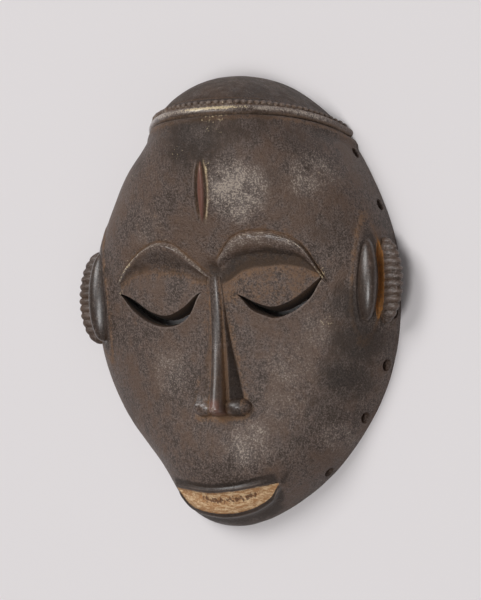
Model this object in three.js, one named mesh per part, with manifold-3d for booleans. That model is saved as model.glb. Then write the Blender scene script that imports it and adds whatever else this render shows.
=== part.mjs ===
// A carved wooden face mask, lying on its rim with the face up.
// Millimetres. +Z comes out of the face, +Y points to the crown, +X to the viewer's right.
// The origin is at the middle of the rim, on the surface that the mask lies on.

import * as THREE from 'three';
import Module from 'manifold-3d';
import { mergeVertices } from 'three/addons/utils/BufferGeometryUtils.js';

const wasm = await Module();
wasm.setup();

// The shell
const HALF_LENGTH = 125;
const WALL = 8.5;
const BELOW = 12;

// Stations from the chin to the crown, evenly spaced along Y. Half widths and depths are
// multiplied by the round end sqrt(1 - v * v), so that the shell closes softly at both ends.
// FULLNESS shapes the cross sections: 0.5 is an ellipse, less is boxier, more is slimmer.
// SWAY is how far the hand-carved middle line strays from straight.
const HALF_WIDTHS = [75.4, 76.7, 87, 90.5, 90.5, 90, 85.6, 83.4, 79.8];
const DEPTHS = [63, 60, 47, 44, 47, 58, 78, 106, 129.3];
const FULLNESS = [0.55, 0.5, 0.6, 0.5, 0.44, 0.45, 0.48, 0.53, 0.55];
const SWAY = [-7.5, 2.7, 1, 0, 0, 0.5, 1.5, 1.1, -1.5];

// The left side is pinched in under the cap, by a share of the half width
const PINCH = { share: 0.118, y: 87, length: 12 };

// Facets of the shell and of its hollow
const SHELL_ROWS = 38;
const SHELL_COLUMNS = 26;
const HOLLOW_ROWS = 18;
const HOLLOW_COLUMNS = 14;

// How near the very edge of the shell a place is looked up, and the step that a normal is taken over
const NEAREST_END = 0.995;
const NEAREST_RIM = 0.998;
const NORMAL_STEP = 0.004;
const INVERSE_PASSES = 4;

// The two ridges that edge the cap. The band arches: it sits lower at the rim than at the front.
// Each ridge runs on a little past the rim, so that the flat cut below leaves no gap.
const BAND = { y: 102.8, tilt: 0.05, drop: 11.5, depth: 66, overrun: 0.03, foot: -3 };
const BAND_FACETS = { steps: 28, sides: 3, passes: 8 };
const BAND_UPPER = { radius: 2, offset: -0.8, sink: 0.2 };
const BAND_LOWER = { radius: 1.9, offset: -4.5, sink: 0.4 };

// The eyes. Each curve gives y at evenly spaced stations from one x to another, measured outwards
// from the middle line. The two eyes are hand carved and differ a little.
const EYES = [
  {
    side: 1,
    browTop: { from: 2, to: 64, y: [17, 29.8, 32.8, 31.7, 25, 5] },
    browLow: { from: 2, to: 64, y: [14, 19.7, 21.8, 21, 18, 4] },
    lidTop: { from: 5, to: 61, y: [5.7, 13.2, 15, 14.8, 10.5] },
    slitUpper: { from: 14, to: 61, y: [0.4, -3.6, -6.5, -4.2, 1.9, 9.8] },
    slitLower: { from: 14, to: 61, y: [-0.1, -7.7, -11.1, -12.9, -11, -7.3, -1.2, 9.2] },
  },
  {
    side: -1,
    browTop: { from: -0.5, to: 65, y: [9.3, 18.2, 26.6, 28.9, 25.6, 18.3, 8.3] },
    browLow: { from: -0.5, to: 65, y: [7.5, 13.6, 15, 15, 14.4, 7] },
    lidTop: { from: 4, to: 64, y: [6, 11.4, 12.6, 12.2, 6] },
    slitUpper: { from: 8, to: 62.5, y: [2.1, -5.9, -9.9, -7.1, -0.4, 3.3] },
    slitLower: { from: 8, to: 62.5, y: [1.7, -10.3, -15.2, -16.3, -14.9, -11.5, -5.6, 2.4] },
  },
];

// Heights out of the shell. SEAM is how far a raised field's edge lies under the shell's skin, or a
// sunk one's above it. ROOT is how far a raised field reaches back into the wood, and a cutter's
// REACH is how far it stands out in front. LID_SPAN is the part of a half turn that the lid's dome
// takes up, and BROW_FADE the shares of its length and width over which the brow rises and falls.
const BROW_HEIGHT = 2.9;
const SOCKET_DEPTH = 2.6;
const LID_HEIGHT = 2.5;
const SEAM = 0.5;
const ROOT = 4;
const REACH = 6;
const LID_SPAN = { low: 0.06, high: 0.97 };
const BROW_FADE = { start: 0.12, end: 0.82, foot: 0.7, crest: 0.8, over: 0.8 };
const SLIT_STEPS = 14;
const SLIT_REACH = 80;

// A carved field's facets, and the least height that it keeps where its two curves meet
const FIELD = { steps: 14, ribs: 5, least: 0.3 };

// The nose: stations from the root to the tip, evenly spaced along Y
const NOSE = {
  rootY: 10,
  tipY: -62,
  underY: -65,
  underLift: 0.55,
  rooted: 5,
  steps: 9,
  axis: [0.4, 1, 1.5, 2, 2.3],
  ridge: [0.6, 2.6, 5.2, 8.8, 12],
  rodHalf: [2.4, 2.7, 3.1, 3.4, 4.2],
  rightFoot: [4.4, 5.2, 7.2, 10.4, 13.4],
  leftFoot: [4.4, 4.9, 7.4, 12.2, 16.8],
};

// The nose's section from the foot to the ridge: the share of the way from the rod out to the foot
// or, inside the rod, of its half width, and the share of the ridge's height
const WING = { out: 0.35, rise: 0.42 };
const ROD_SIDE = 0.7;
const ROD_TOP = { out: 0.55, rise: 0.96 };

// The scar on the forehead
const SCAR = { x: 0.9, y: 55.5, tilt: 0.12, halfLength: 17, halfWidth: 2.2, height: 1.5 };
const SCAR_FACETS = { steps: 8, sides: 8 };

// The mouth: a sunk crescent facet at the foot of the face, under a raised upper lip
const MOUTH_UPPER = {
  from: -37,
  to: 30.6,
  y: [-103.3, -104.2, -105.2, -106.4, -106.9, -106.5, -105.7, -104.4, -102.7, -101.1],
};
const MOUTH_LOWER = {
  from: -37,
  to: 30.6,
  y: [-103.6, -112.4, -115.9, -117.4, -118.1, -117.7, -116.1, -113.2, -108.7, -101.3],
};
const LIP = { sink: 1.3, ridge: 1.7, width: 4.5, flat: 0.3, edge: 0.15, corner: 6 };

// The ears: a smooth front lobe and a notched rim behind it, with a slot between them.
// A lens leans back by an angle, and trim shortens it at both ends.
const EARS = [
  { side: 1, y: 8, half: 23.5 },
  { side: -1, y: 3, half: 26 },
];
const EAR_LOBE = { x: 79.7, z: 23.5, out: 8.2, thick: 5.9, lean: 0.6, trim: 1, notch: 0 };
const EAR_RIM = { x: 86.5, z: 13.4, out: 12.2, thick: 5.2, lean: 0.3, trim: 0, notch: 1.2 };
const EAR_SLOT = { x: 85.6, z: 19, out: 4.2, thick: 2.4, lean: 1.1, trim: 1.5, notch: 0 };
const NOTCHES = 8;
const STEPS_TO_A_NOTCH = 4;
const LENS_MERIDIANS = 6;
const PLAIN_LENS_STEPS = 16;

// Tie holes through the side wall just above the rim, at these heights in y on both sides
const TIE_HOLES = [79, 50, 21, -9, -38, -67, -96];
const TIE_HOLE = { radius: 2.9, stretch: 1.2, z: 6.6, sides: 10 };

// Points nearer than this are one point
const WELD = 1e-4;

const clamp = (value, low, high) => Math.min(high, Math.max(low, value));
const mix = (a, b, t) => a + (b - a) * t;

function smooth(low, high, value) {
  const t = clamp((value - low) / (high - low), 0, 1);
  return t * t * (3 - 2 * t);
}

// A smooth curve through evenly spaced values, with t from 0 to 1
function along(values, t) {
  const last = values.length - 1;
  const scaled = clamp(t, 0, 1) * last;
  const i = Math.min(Math.floor(scaled), last - 1);
  const f = scaled - i;
  const before = values[Math.max(i - 1, 0)];
  const from = values[i];
  const to = values[i + 1];
  const after = values[Math.min(i + 2, last)];
  const linear = (to - before) * f;
  const square = (2 * before - 5 * from + 4 * to - after) * f * f;
  const cube = (3 * from - before - 3 * to + after) * f * f * f;
  return 0.5 * (2 * from + linear + square + cube);
}

const heightAt = (curve, x) => along(curve.y, (x - curve.from) / (curve.to - curve.from));

// The share of the half width that the pinch under the cap leaves
function kept(v, cosine) {
  const away = (HALF_LENGTH * v - PINCH.y) / PINCH.length;
  return 1 - PINCH.share * Math.exp(-away * away) * clamp(-cosine, 0, 1);
}

// A point of the shell: v runs from the chin (-1) to the crown (1), the angle over the face
function shellPoint(v, angle) {
  const station = (v + 1) / 2;
  const end = Math.sqrt(Math.max(0, 1 - v * v));
  const cosine = Math.cos(angle);
  const x = along(SWAY, station) + along(HALF_WIDTHS, station) * end * cosine * kept(v, cosine);
  const rise = Math.pow(Math.abs(Math.sin(angle)), 2 * along(FULLNESS, station));
  return new THREE.Vector3(x, HALF_LENGTH * v, along(DEPTHS, station) * end * rise);
}

function shellNormal(v, angle) {
  const step = NORMAL_STEP;
  const near = clamp(v, 2 * step - 1, 1 - 2 * step);
  const turn = clamp(angle, step, Math.PI - step);
  const lengthwise = shellPoint(near + step, turn).sub(shellPoint(near - step, turn));
  const around = shellPoint(near, turn + step).sub(shellPoint(near, turn - step));
  return lengthwise.cross(around).normalize();
}

// The shell over a place on the face, and the way it faces there
function shellAt(x, y) {
  const v = clamp(y / HALF_LENGTH, -NEAREST_END, NEAREST_END);
  const station = (v + 1) / 2;
  const across = (x - along(SWAY, station)) / (along(HALF_WIDTHS, station) * Math.sqrt(1 - v * v));
  let cosine = across;
  for (let pass = 0; pass < INVERSE_PASSES; pass += 1) cosine = across / kept(v, cosine);
  const angle = Math.acos(clamp(cosine, -NEAREST_RIM, NEAREST_RIM));
  return { point: shellPoint(v, angle), normal: shellNormal(v, angle) };
}

// A solid from a closed geometry, turned the right way out
function toSolid(source) {
  const geometry = source.clone();
  geometry.deleteAttribute('normal');
  geometry.deleteAttribute('uv');
  const merged = mergeVertices(geometry, WELD);
  const index = merged.getIndex().array;
  const triangles = [];
  for (let i = 0; i < index.length; i += 3) {
    const [a, b, c] = [index[i], index[i + 1], index[i + 2]];
    if (a !== b && b !== c && a !== c) triangles.push([a, b, c]);
  }
  const vertProperties = new Float32Array(merged.getAttribute('position').array);
  const build = (list) => new wasm.Manifold(new wasm.Mesh({
    numProp: 3,
    vertProperties,
    triVerts: new Uint32Array(list.flat()),
  }));
  const solid = build(triangles);
  return solid.volume() > 0 ? solid : build(triangles.map(([a, b, c]) => [a, c, b]));
}

// A closed solid from rings of points that all have the same count
function solidFromRings(rings) {
  const count = rings[0].length;
  const positions = rings.flat().flatMap((p) => [p.x, p.y, p.z]);
  const indices = [];
  for (let r = 0; r < rings.length - 1; r += 1) {
    for (let i = 0; i < count; i += 1) {
      const a = r * count + i;
      const b = r * count + ((i + 1) % count);
      indices.push(a, b, b + count, a, b + count, a + count);
    }
  }
  const geometry = new THREE.BufferGeometry();
  geometry.setAttribute('position', new THREE.Float32BufferAttribute(positions, 3));
  geometry.setIndex(indices);
  return toSolid(geometry);
}

// A ring shrunk to its middle, which closes the end of a row of rings
function closing(ring) {
  const middle = ring.reduce((sum, p) => sum.add(p), new THREE.Vector3()).divideScalar(ring.length);
  return ring.map(() => middle.clone());
}

const closed = (rings) => solidFromRings([closing(rings[0]), ...rings, closing(rings[rings.length - 1])]);

// One ring over the face, a distance inside the shell, from the right rim to the left one
function shellRing(v, columns, inset) {
  const ring = [];
  for (let i = 0; i <= columns; i += 1) {
    const angle = (Math.PI * i) / columns;
    const point = shellPoint(v, angle).addScaledVector(shellNormal(v, angle), -inset);
    if (i === 0 || i === columns) point.z = 0;
    ring.push(point);
  }
  return ring;
}

function outerShell() {
  const rings = [];
  for (let r = 1; r < SHELL_ROWS; r += 1) {
    const v = Math.sin(mix(-Math.PI / 2, Math.PI / 2, r / SHELL_ROWS));
    rings.push(shellRing(v, SHELL_COLUMNS, 0));
  }
  const pole = (v) => rings[0].map(() => new THREE.Vector3(along(SWAY, (v + 1) / 2), HALF_LENGTH * v, 0));
  return solidFromRings([pole(-1), ...rings, pole(1)]);
}

// The hollow follows the shell a wall's thickness inside it, and runs out through the rim
function hollow() {
  const rings = [];
  for (let r = 1; r < HOLLOW_ROWS; r += 1) {
    const v = Math.sin(mix(-Math.PI / 2, Math.PI / 2, r / HOLLOW_ROWS));
    const ring = shellRing(v, HOLLOW_COLUMNS, WALL);
    const below = [ring[ring.length - 1], ring[0]].map((p) => new THREE.Vector3(p.x, p.y, -BELOW));
    rings.push([...ring, ...below]);
  }
  return closed(rings);
}

// One ridge of the band, as a round bead swept over the head
function bandRidge({ radius, offset, sink }) {
  const points = [];
  for (let i = 0; i <= BAND_FACETS.steps; i += 1) {
    const angle = mix(-BAND.overrun, Math.PI + BAND.overrun, i / BAND_FACETS.steps);
    const turn = clamp(angle, 0, Math.PI);
    let y = BAND.y + offset;
    for (let pass = 0; pass < BAND_FACETS.passes; pass += 1) {
      const { x, z } = shellPoint(y / HALF_LENGTH, turn);
      y = BAND.y + offset + BAND.tilt * x - BAND.drop * (1 - z / BAND.depth) ** 2;
    }
    const point = shellPoint(y / HALF_LENGTH, turn);
    point.addScaledVector(shellNormal(y / HALF_LENGTH, turn), -sink);
    if (angle !== turn) point.z = BAND.foot;
    points.push(point);
  }
  const section = new THREE.Shape();
  section.absarc(0, 0, radius, 0, 2 * Math.PI);
  return toSolid(new THREE.ExtrudeGeometry(section, {
    curveSegments: BAND_FACETS.sides,
    steps: BAND_FACETS.steps,
    extrudePath: new THREE.CatmullRomCurve3(points),
  }));
}

// A carved field of the face between two curves. relief(t, s) is how far its skin stands out of the
// shell, with t along the field and s from the lower curve to the upper one. The solid reaches back
// to root below the shell, or a negative root makes a cutter that reaches out in front of it.
function carvedField({ side, from, to, lower, upper, relief, root }) {
  const rings = [];
  for (let i = 0; i <= FIELD.steps; i += 1) {
    const t = i / FIELD.steps;
    const x = mix(from, to, t);
    const low = lower(x);
    const high = Math.max(upper(x), low + FIELD.least);
    const ring = [];
    for (let j = 0; j <= FIELD.ribs; j += 1) {
      const { point, normal } = shellAt(side * x, mix(low, high, j / FIELD.ribs));
      ring.push(point.addScaledVector(normal, relief(t, j / FIELD.ribs)));
    }
    [high, low].forEach((y) => {
      const { point, normal } = shellAt(side * x, y);
      ring.push(point.addScaledVector(normal, -root));
    });
    rings.push(ring);
  }
  return closed(rings);
}

// The brow: a crescent moulding, steep above and sloping in towards the socket below
function brow(eye) {
  const skin = (t, s) => {
    const ends = smooth(0, BROW_FADE.start, t) * (1 - smooth(BROW_FADE.end, 1, t));
    const rise = smooth(0, BROW_FADE.foot, s) * (1 - smooth(BROW_FADE.crest, 1, s));
    return BROW_HEIGHT * rise * ends - SEAM;
  };
  return carvedField({
    side: eye.side,
    from: eye.browTop.from,
    to: eye.browTop.to,
    lower: (x) => heightAt(eye.browLow, x),
    upper: (x) => heightAt(eye.browTop, x) + BROW_FADE.over,
    relief: skin,
    root: ROOT,
  });
}

// The hollow strip between the brow and the eyelid
function socket(eye) {
  const skin = (t, s) => SEAM - (SOCKET_DEPTH + SEAM) * Math.sin(Math.PI * s) * Math.sin(Math.PI * t);
  return carvedField({
    side: eye.side,
    from: eye.lidTop.from,
    to: eye.lidTop.to,
    lower: (x) => heightAt(eye.lidTop, x) - 1,
    upper: (x) => heightAt(eye.browLow, x) + 1,
    relief: skin,
    root: -REACH,
  });
}

// The eyelid: a broad flat almond that ends below in the slit
function eyelid(eye) {
  const skin = (t, s) => {
    const across = Math.sin(Math.PI * mix(LID_SPAN.low, LID_SPAN.high, s));
    return LID_HEIGHT * Math.sqrt(across * Math.sin(Math.PI * t)) - SEAM;
  };
  return carvedField({
    side: eye.side,
    from: eye.slitUpper.from,
    to: eye.slitUpper.to,
    lower: (x) => heightAt(eye.slitUpper, x),
    upper: (x) => heightAt(eye.lidTop, x),
    relief: skin,
    root: ROOT,
  });
}

// The slit under one eyelid, as a cutter that runs straight through the shell
function slitCutter(eye) {
  const { from, to } = eye.slitUpper;
  const place = (i, curve) => [eye.side * mix(from, to, i / SLIT_STEPS), along(curve.y, i / SLIT_STEPS)];
  const shape = new THREE.Shape();
  shape.moveTo(...place(0, eye.slitUpper));
  for (let i = 1; i <= SLIT_STEPS; i += 1) shape.lineTo(...place(i, eye.slitUpper));
  for (let i = SLIT_STEPS; i >= 0; i -= 1) shape.lineTo(...place(i, eye.slitLower));
  return toSolid(new THREE.ExtrudeGeometry(shape, { depth: SLIT_REACH, bevelEnabled: false }));
}

// The nose: a rod that widens into two wings, cut off square underneath
function nose() {
  const section = (t, y, lift) => {
    const axis = along(NOSE.axis, t);
    const ridge = along(NOSE.ridge, t) * lift;
    const rod = along(NOSE.rodHalf, t);
    const base = shellAt(axis, y).point.z;
    const flank = (side, feet) => {
      const foot = along(feet, t);
      const ground = shellAt(axis + side * foot, y).point.z;
      return [
        [side * foot, ground - NOSE.rooted],
        [side * foot, ground],
        [side * mix(rod, foot, WING.out), base + WING.rise * ridge],
        [side * rod, base + ROD_SIDE * ridge],
        [side * ROD_TOP.out * rod, base + ROD_TOP.rise * ridge],
      ];
    };
    const right = flank(1, NOSE.rightFoot);
    const left = flank(-1, NOSE.leftFoot).reverse();
    return [...right, [0, base + ridge], ...left].map(([x, z]) => new THREE.Vector3(axis + x, y, z));
  };
  const rings = [];
  for (let i = 0; i <= NOSE.steps; i += 1) {
    const t = i / NOSE.steps;
    rings.push(section(t, mix(NOSE.rootY, NOSE.tipY, t), 1));
  }
  rings.push(section(1, NOSE.underY, NOSE.underLift));
  return closed(rings);
}

// The raised scar, pointed at both ends
function scar() {
  const rings = [];
  for (let i = 0; i <= SCAR_FACETS.steps; i += 1) {
    const turn = mix(-Math.PI / 2, Math.PI / 2, i / SCAR_FACETS.steps);
    const y = SCAR.y + SCAR.halfLength * Math.sin(turn);
    const middle = SCAR.x + SCAR.tilt * (y - SCAR.y);
    const { z } = shellAt(middle, y).point;
    const ring = [];
    for (let s = 0; s < SCAR_FACETS.sides; s += 1) {
      const around = (2 * Math.PI * s) / SCAR_FACETS.sides;
      const across = SCAR.halfWidth * Math.cos(turn) * Math.cos(around);
      const out = SCAR.height * Math.cos(turn) * Math.sin(around);
      ring.push(new THREE.Vector3(middle + across, y, z + out));
    }
    rings.push(ring);
  }
  return solidFromRings(rings);
}

// A share that rises from 0 at both ends of the mouth
const fromCorners = (t) => Math.min(1, LIP.corner * Math.min(t, 1 - t));

// The crescent facet of the mouth
function mouthCutter() {
  const edge = (s) => smooth(0, LIP.edge, s) * (1 - smooth(1 - LIP.edge, 1, s));
  return carvedField({
    side: 1,
    from: MOUTH_UPPER.from,
    to: MOUTH_UPPER.to,
    lower: (x) => heightAt(MOUTH_LOWER, x),
    upper: (x) => heightAt(MOUTH_UPPER, x),
    relief: (t, s) => SEAM - (LIP.sink + SEAM) * edge(s) * fromCorners(t),
    root: -REACH,
  });
}

function upperLip() {
  return carvedField({
    side: 1,
    from: MOUTH_UPPER.from,
    to: MOUTH_UPPER.to,
    lower: (x) => heightAt(MOUTH_UPPER, x),
    upper: (x) => heightAt(MOUTH_UPPER, x) + LIP.width,
    relief: (t, s) => LIP.ridge * (1 - smooth(LIP.flat, 1, s)) * fromCorners(t) - SEAM,
    root: ROOT,
  });
}

// A lens with its long side along Y, leaning back, with a notched edge if its notch is more than zero
function lens(ear, { x, z, out, thick, lean, trim, notch }) {
  const steps = notch > 0 ? STEPS_TO_A_NOTCH * NOTCHES : PLAIN_LENS_STEPS;
  const rings = [];
  for (let m = 0; m <= LENS_MERIDIANS; m += 1) {
    const polar = (Math.PI * m) / LENS_MERIDIANS;
    const ring = [];
    for (let i = 0; i < steps; i += 1) {
      const around = (2 * Math.PI * i) / steps;
      const ripple = notch * (0.5 - 0.5 * Math.cos(2 * NOTCHES * around));
      const outward = (out - ripple) * Math.sin(polar) * Math.sin(around);
      const y = ear.y + (ear.half - trim - ripple) * Math.sin(polar) * Math.cos(around);
      const depth = thick * Math.cos(polar);
      const leanX = outward * Math.cos(lean) - depth * Math.sin(lean);
      const leanZ = outward * Math.sin(lean) + depth * Math.cos(lean);
      ring.push(new THREE.Vector3(ear.side * (x + leanX), y, z + leanZ));
    }
    rings.push(ring);
  }
  return solidFromRings(rings);
}

const earParts = (size) => EARS.map((ear) => lens(ear, size));

// A tie hole, square to the rim's outline, through the side wall
function tieHole(y, side) {
  const v = y / HALF_LENGTH;
  const angle = side > 0 ? 0 : Math.PI;
  const edge = shellPoint(v, angle);
  const outward = shellNormal(v, angle).setZ(0).normalize();
  const geometry = new THREE.CylinderGeometry(TIE_HOLE.radius, TIE_HOLE.radius, 4 * WALL, TIE_HOLE.sides);
  geometry.scale(TIE_HOLE.stretch, 1, 1);
  const lengthwise = new THREE.Vector3(-outward.y, outward.x, 0);
  geometry.applyMatrix4(new THREE.Matrix4().makeBasis(lengthwise, outward, new THREE.Vector3(0, 0, 1)));
  geometry.translate(edge.x, edge.y, TIE_HOLE.z);
  return toSolid(geometry);
}

// Everything that reaches below the surface the mask lies on is cut off flat
function belowRim() {
  const geometry = new THREE.BoxGeometry(4 * HALF_LENGTH, 4 * HALF_LENGTH, 2 * BELOW);
  geometry.translate(0, 0, -BELOW);
  return toSolid(geometry);
}

function carveMask() {
  const sockets = [...EYES.map(socket), mouthCutter()];
  const raised = [bandRidge(BAND_UPPER), bandRidge(BAND_LOWER), ...EYES.map(brow), ...EYES.map(eyelid)];
  raised.push(nose(), scar(), upperLip(), ...earParts(EAR_LOBE), ...earParts(EAR_RIM));
  const cuts = [hollow(), belowRim(), ...earParts(EAR_SLOT), ...EYES.map(slitCutter)];
  TIE_HOLES.forEach((y) => cuts.push(tieHole(y, 1), tieHole(y, -1)));
  let solid = outerShell();
  sockets.forEach((cut) => { solid = solid.subtract(cut); });
  raised.forEach((part) => { solid = solid.add(part); });
  cuts.forEach((cut) => { solid = solid.subtract(cut); });
  return solid;
}

function toMesh(solid, name, material) {
  const { vertProperties, triVerts } = solid.getMesh();
  const geometry = new THREE.BufferGeometry();
  geometry.setAttribute('position', new THREE.Float32BufferAttribute(vertProperties, 3));
  geometry.setIndex(new THREE.Uint32BufferAttribute(triVerts, 1));
  geometry.computeVertexNormals();
  const mesh = new THREE.Mesh(geometry, material);
  mesh.name = name;
  return mesh;
}

const darkWood = new THREE.MeshStandardMaterial({ color: '#4a3f39', roughness: 0.5, metalness: 0 });

const mask = new THREE.Group();
mask.add(toMesh(carveMask(), 'carved_mask', darkWood));

export default mask;
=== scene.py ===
"""A carved wooden face mask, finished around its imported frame.

The mask lies on its rim with the face up. Shapes are worked out in millimetres in the frame's own axes:
+X to the viewer's right, +Y to the crown and +Z out of the face. Meshes are made in metres.
"""

import logging
import math
from dataclasses import dataclass, field, fields
from enum import Enum
from itertools import product

import bpy
import numpy as np
from mathutils import Matrix, Vector


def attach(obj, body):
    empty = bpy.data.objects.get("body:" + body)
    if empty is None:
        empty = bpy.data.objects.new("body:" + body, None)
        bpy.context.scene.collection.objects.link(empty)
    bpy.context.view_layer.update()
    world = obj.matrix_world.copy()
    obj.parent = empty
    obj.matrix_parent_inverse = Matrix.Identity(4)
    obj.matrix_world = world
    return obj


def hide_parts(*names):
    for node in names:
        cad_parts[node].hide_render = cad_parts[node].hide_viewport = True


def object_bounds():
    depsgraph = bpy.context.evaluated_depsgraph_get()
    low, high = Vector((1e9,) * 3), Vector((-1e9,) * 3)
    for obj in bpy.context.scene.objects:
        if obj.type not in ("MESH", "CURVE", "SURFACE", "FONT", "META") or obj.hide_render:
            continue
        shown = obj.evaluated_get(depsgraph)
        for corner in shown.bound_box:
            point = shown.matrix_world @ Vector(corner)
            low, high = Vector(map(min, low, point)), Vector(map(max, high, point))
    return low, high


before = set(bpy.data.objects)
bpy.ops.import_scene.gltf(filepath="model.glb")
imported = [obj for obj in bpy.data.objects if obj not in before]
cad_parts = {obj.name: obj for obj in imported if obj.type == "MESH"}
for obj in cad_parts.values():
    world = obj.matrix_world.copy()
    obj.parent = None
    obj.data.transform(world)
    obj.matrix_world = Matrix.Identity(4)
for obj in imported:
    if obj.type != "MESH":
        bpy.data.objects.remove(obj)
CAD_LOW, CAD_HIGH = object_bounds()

Array = np.ndarray
Colour = tuple[float, float, float, float]

MM = 0.001
HALF_LENGTH = (CAD_HIGH.y - CAD_LOW.y) / 2 / MM
MOST_TRIANGLES = 192_000
BODY = "root"
NODE = "carved_mask"
LOG = logging.getLogger("mask")


class Side(Enum):
    """The two sides of the face, as the sign of x."""

    LEFT = -1
    RIGHT = 1


class Carving(Enum):
    """How a solid meets the mask."""

    ADD = "UNION"
    CUT = "DIFFERENCE"


def smooth(low: float | Array, high: float | Array, value: Array) -> Array:
    """A soft step.

    Args:
        low: where the step starts, at 0.
        high: where it ends, at 1. It may be less than low.
        value: where to look.

    Returns:
        The height of the step there.
    """
    t = np.clip((value - low) / (high - low), 0, 1)
    return t * t * (3 - 2 * t)


def hump(distance: Array, width: float) -> Array:
    """A round hump, 1 high at no distance and fading over the width."""
    return np.exp(-((distance / width) ** 2))


def dome(distance: Array, half: float) -> Array:
    """A half-round section, 1 high at no distance and 0 from half its width on."""
    return np.sqrt(np.maximum(0, 1 - (distance / half) ** 2))


def mixed(first: Array, last: Array, share: Array) -> Array:
    """The value a share of the way from the first to the last."""
    return first + (last - first) * share


def span(value: Array, start: float, full: float, fading: float, end: float) -> Array:
    """1 from full to fading, with soft steps down to 0 at the start and at the end."""
    return smooth(start, full, value) * smooth(end, fading, value)


def placed(name: str, data: bpy.types.ID) -> bpy.types.Object:
    """A new object with a mesh, a light or a camera, linked into the scene.

    Args:
        name: the object's name.
        data: what it shows.

    Returns:
        The object, at the origin.
    """
    made = bpy.data.objects.new(name, data)
    bpy.context.scene.collection.objects.link(made)
    return made


def measured(items: bpy.types.bpy_prop_collection, name: str, width: int, kind: type) -> Array:
    """A measure of each of a mesh's points or edges.

    Args:
        items: the points or edges.
        name: the measure's name.
        width: the count of numbers in it.
        kind: the numbers' type.

    Returns:
        The numbers, as a row for each point or edge.
    """
    values = np.empty(len(items) * width, kind)
    items.foreach_get(name, values)
    return values.reshape(-1, width)


@dataclass(frozen=True)
class Stations:
    """Values at evenly spaced stations, joined by a smooth curve."""

    values: tuple[float, ...]

    def at(self, t: Array) -> Array:
        """The curve's value, with t from 0 at the first station to 1 at the last.

        Args:
            t: places along the curve, kept between 0 and 1.

        Returns:
            The values there.
        """
        known = np.asarray(self.values, float)
        last = len(known) - 1
        scaled = np.clip(t, 0, 1) * last
        i = np.minimum(np.floor(scaled).astype(int), last - 1)
        f = scaled - i
        before, start = known[np.maximum(i - 1, 0)], known[i]
        end, after = known[i + 1], known[np.minimum(i + 2, last)]
        square = 2 * before - 5 * start + 4 * end - after
        cube = 3 * start - before - 3 * end + after
        return 0.5 * (2 * start + (end - before) * f + square * f**2 + cube * f**3)


@dataclass(frozen=True)
class Contour:
    """A curve drawn over half a face: y at evenly spaced stations from one x to another."""

    start: float
    end: float
    heights: tuple[float, ...]

    def share(self, x: Array) -> Array:
        """How far along the curve x is, from 0 to 1, and beyond it outside."""
        return (x - self.start) / (self.end - self.start)

    def at(self, x: Array) -> Array:
        """The curve's y over x."""
        return Stations(self.heights).at(self.share(x))


@dataclass(frozen=True)
class Swell:
    """A raised line, or a sunk one if its height is less than 0."""

    middle: float
    half: float
    height: float

    def round(self, distance: Array) -> Array:
        """Its height at distances, with a half-round section."""
        return self.height * dome(distance - self.middle, self.half)

    def soft(self, distance: Array) -> Array:
        """Its height at distances, with a section that fades out."""
        return self.height * hump(distance - self.middle, self.half)


@dataclass(frozen=True)
class Ledge:
    """A raised strip between two soft slopes."""

    slopes: tuple[float, float, float, float]
    height: float

    def at(self, distance: Array) -> Array:
        """Its height at distances."""
        return self.height * span(distance, *self.slopes)


@dataclass(frozen=True)
class Spot:
    """A soft spot on the face, with its reach across and along."""

    x: float
    y: float
    across: float
    along: float
    strength: float = 1.0

    def at(self, place: Array) -> Array:
        """Its strength at points of the shell."""
        across = hump(place[..., 0] - self.x, self.across)
        return self.strength * across * hump(place[..., 1] - self.y, self.along)


@dataclass(frozen=True)
class Unevenness:
    """Smooth random lumps over space, the same on each run."""

    seed: int
    pitch: tuple[float, float, float]
    height: float
    cells: int = 32

    def at(self, points: Array) -> Array:
        """The unevenness at some points.

        Args:
            points: where to look, as rows of x, y and z.

        Returns:
            Values between minus the height and the height.
        """
        lattice = np.random.default_rng(self.seed).uniform(-1, 1, (self.cells,) * 3)
        scaled = points / np.array(self.pitch)
        cell = np.floor(scaled).astype(int)
        part = scaled - cell
        part = part * part * (3 - 2 * part)
        total = np.zeros(points.shape[:-1])
        for corner in product((0, 1), repeat=3):
            weight = np.prod(np.where(corner, part, 1 - part), axis=-1)
            i, j, k = np.moveaxis((cell + corner) % self.cells, -1, 0)
            total += weight * lattice[i, j, k]
        return self.height * total


@dataclass(frozen=True)
class Solid:
    """A closed surface of triangles, in millimetres."""

    points: Array
    faces: Array

    def outward(self) -> "Solid":
        """The same solid with its faces pointing out.

        Returns:
            The solid itself, or one with its faces turned round.
        """
        a, b, c = (self.points[self.faces[:, i]] for i in range(3))
        volume = np.einsum("ij,ij->", a, np.cross(b, c))
        return self if volume > 0 else Solid(self.points, self.faces[:, ::-1])

    def piece(self, name: str) -> bpy.types.Object:
        """An object with this shape, in metres, at the origin.

        Args:
            name: the object's name.

        Returns:
            The object, linked into the scene.
        """
        mesh = bpy.data.meshes.new(name)
        mesh.vertices.add(len(self.points))
        mesh.vertices.foreach_set("co", (self.points * MM).astype(np.float32).ravel())
        mesh.loops.add(self.faces.size)
        mesh.loops.foreach_set("vertex_index", self.faces.astype(np.int32).ravel())
        mesh.polygons.add(len(self.faces))
        mesh.polygons.foreach_set("loop_start", np.arange(0, self.faces.size, 3, dtype=np.int32))
        mesh.update(calc_edges=True)
        return placed(name, mesh)


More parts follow.
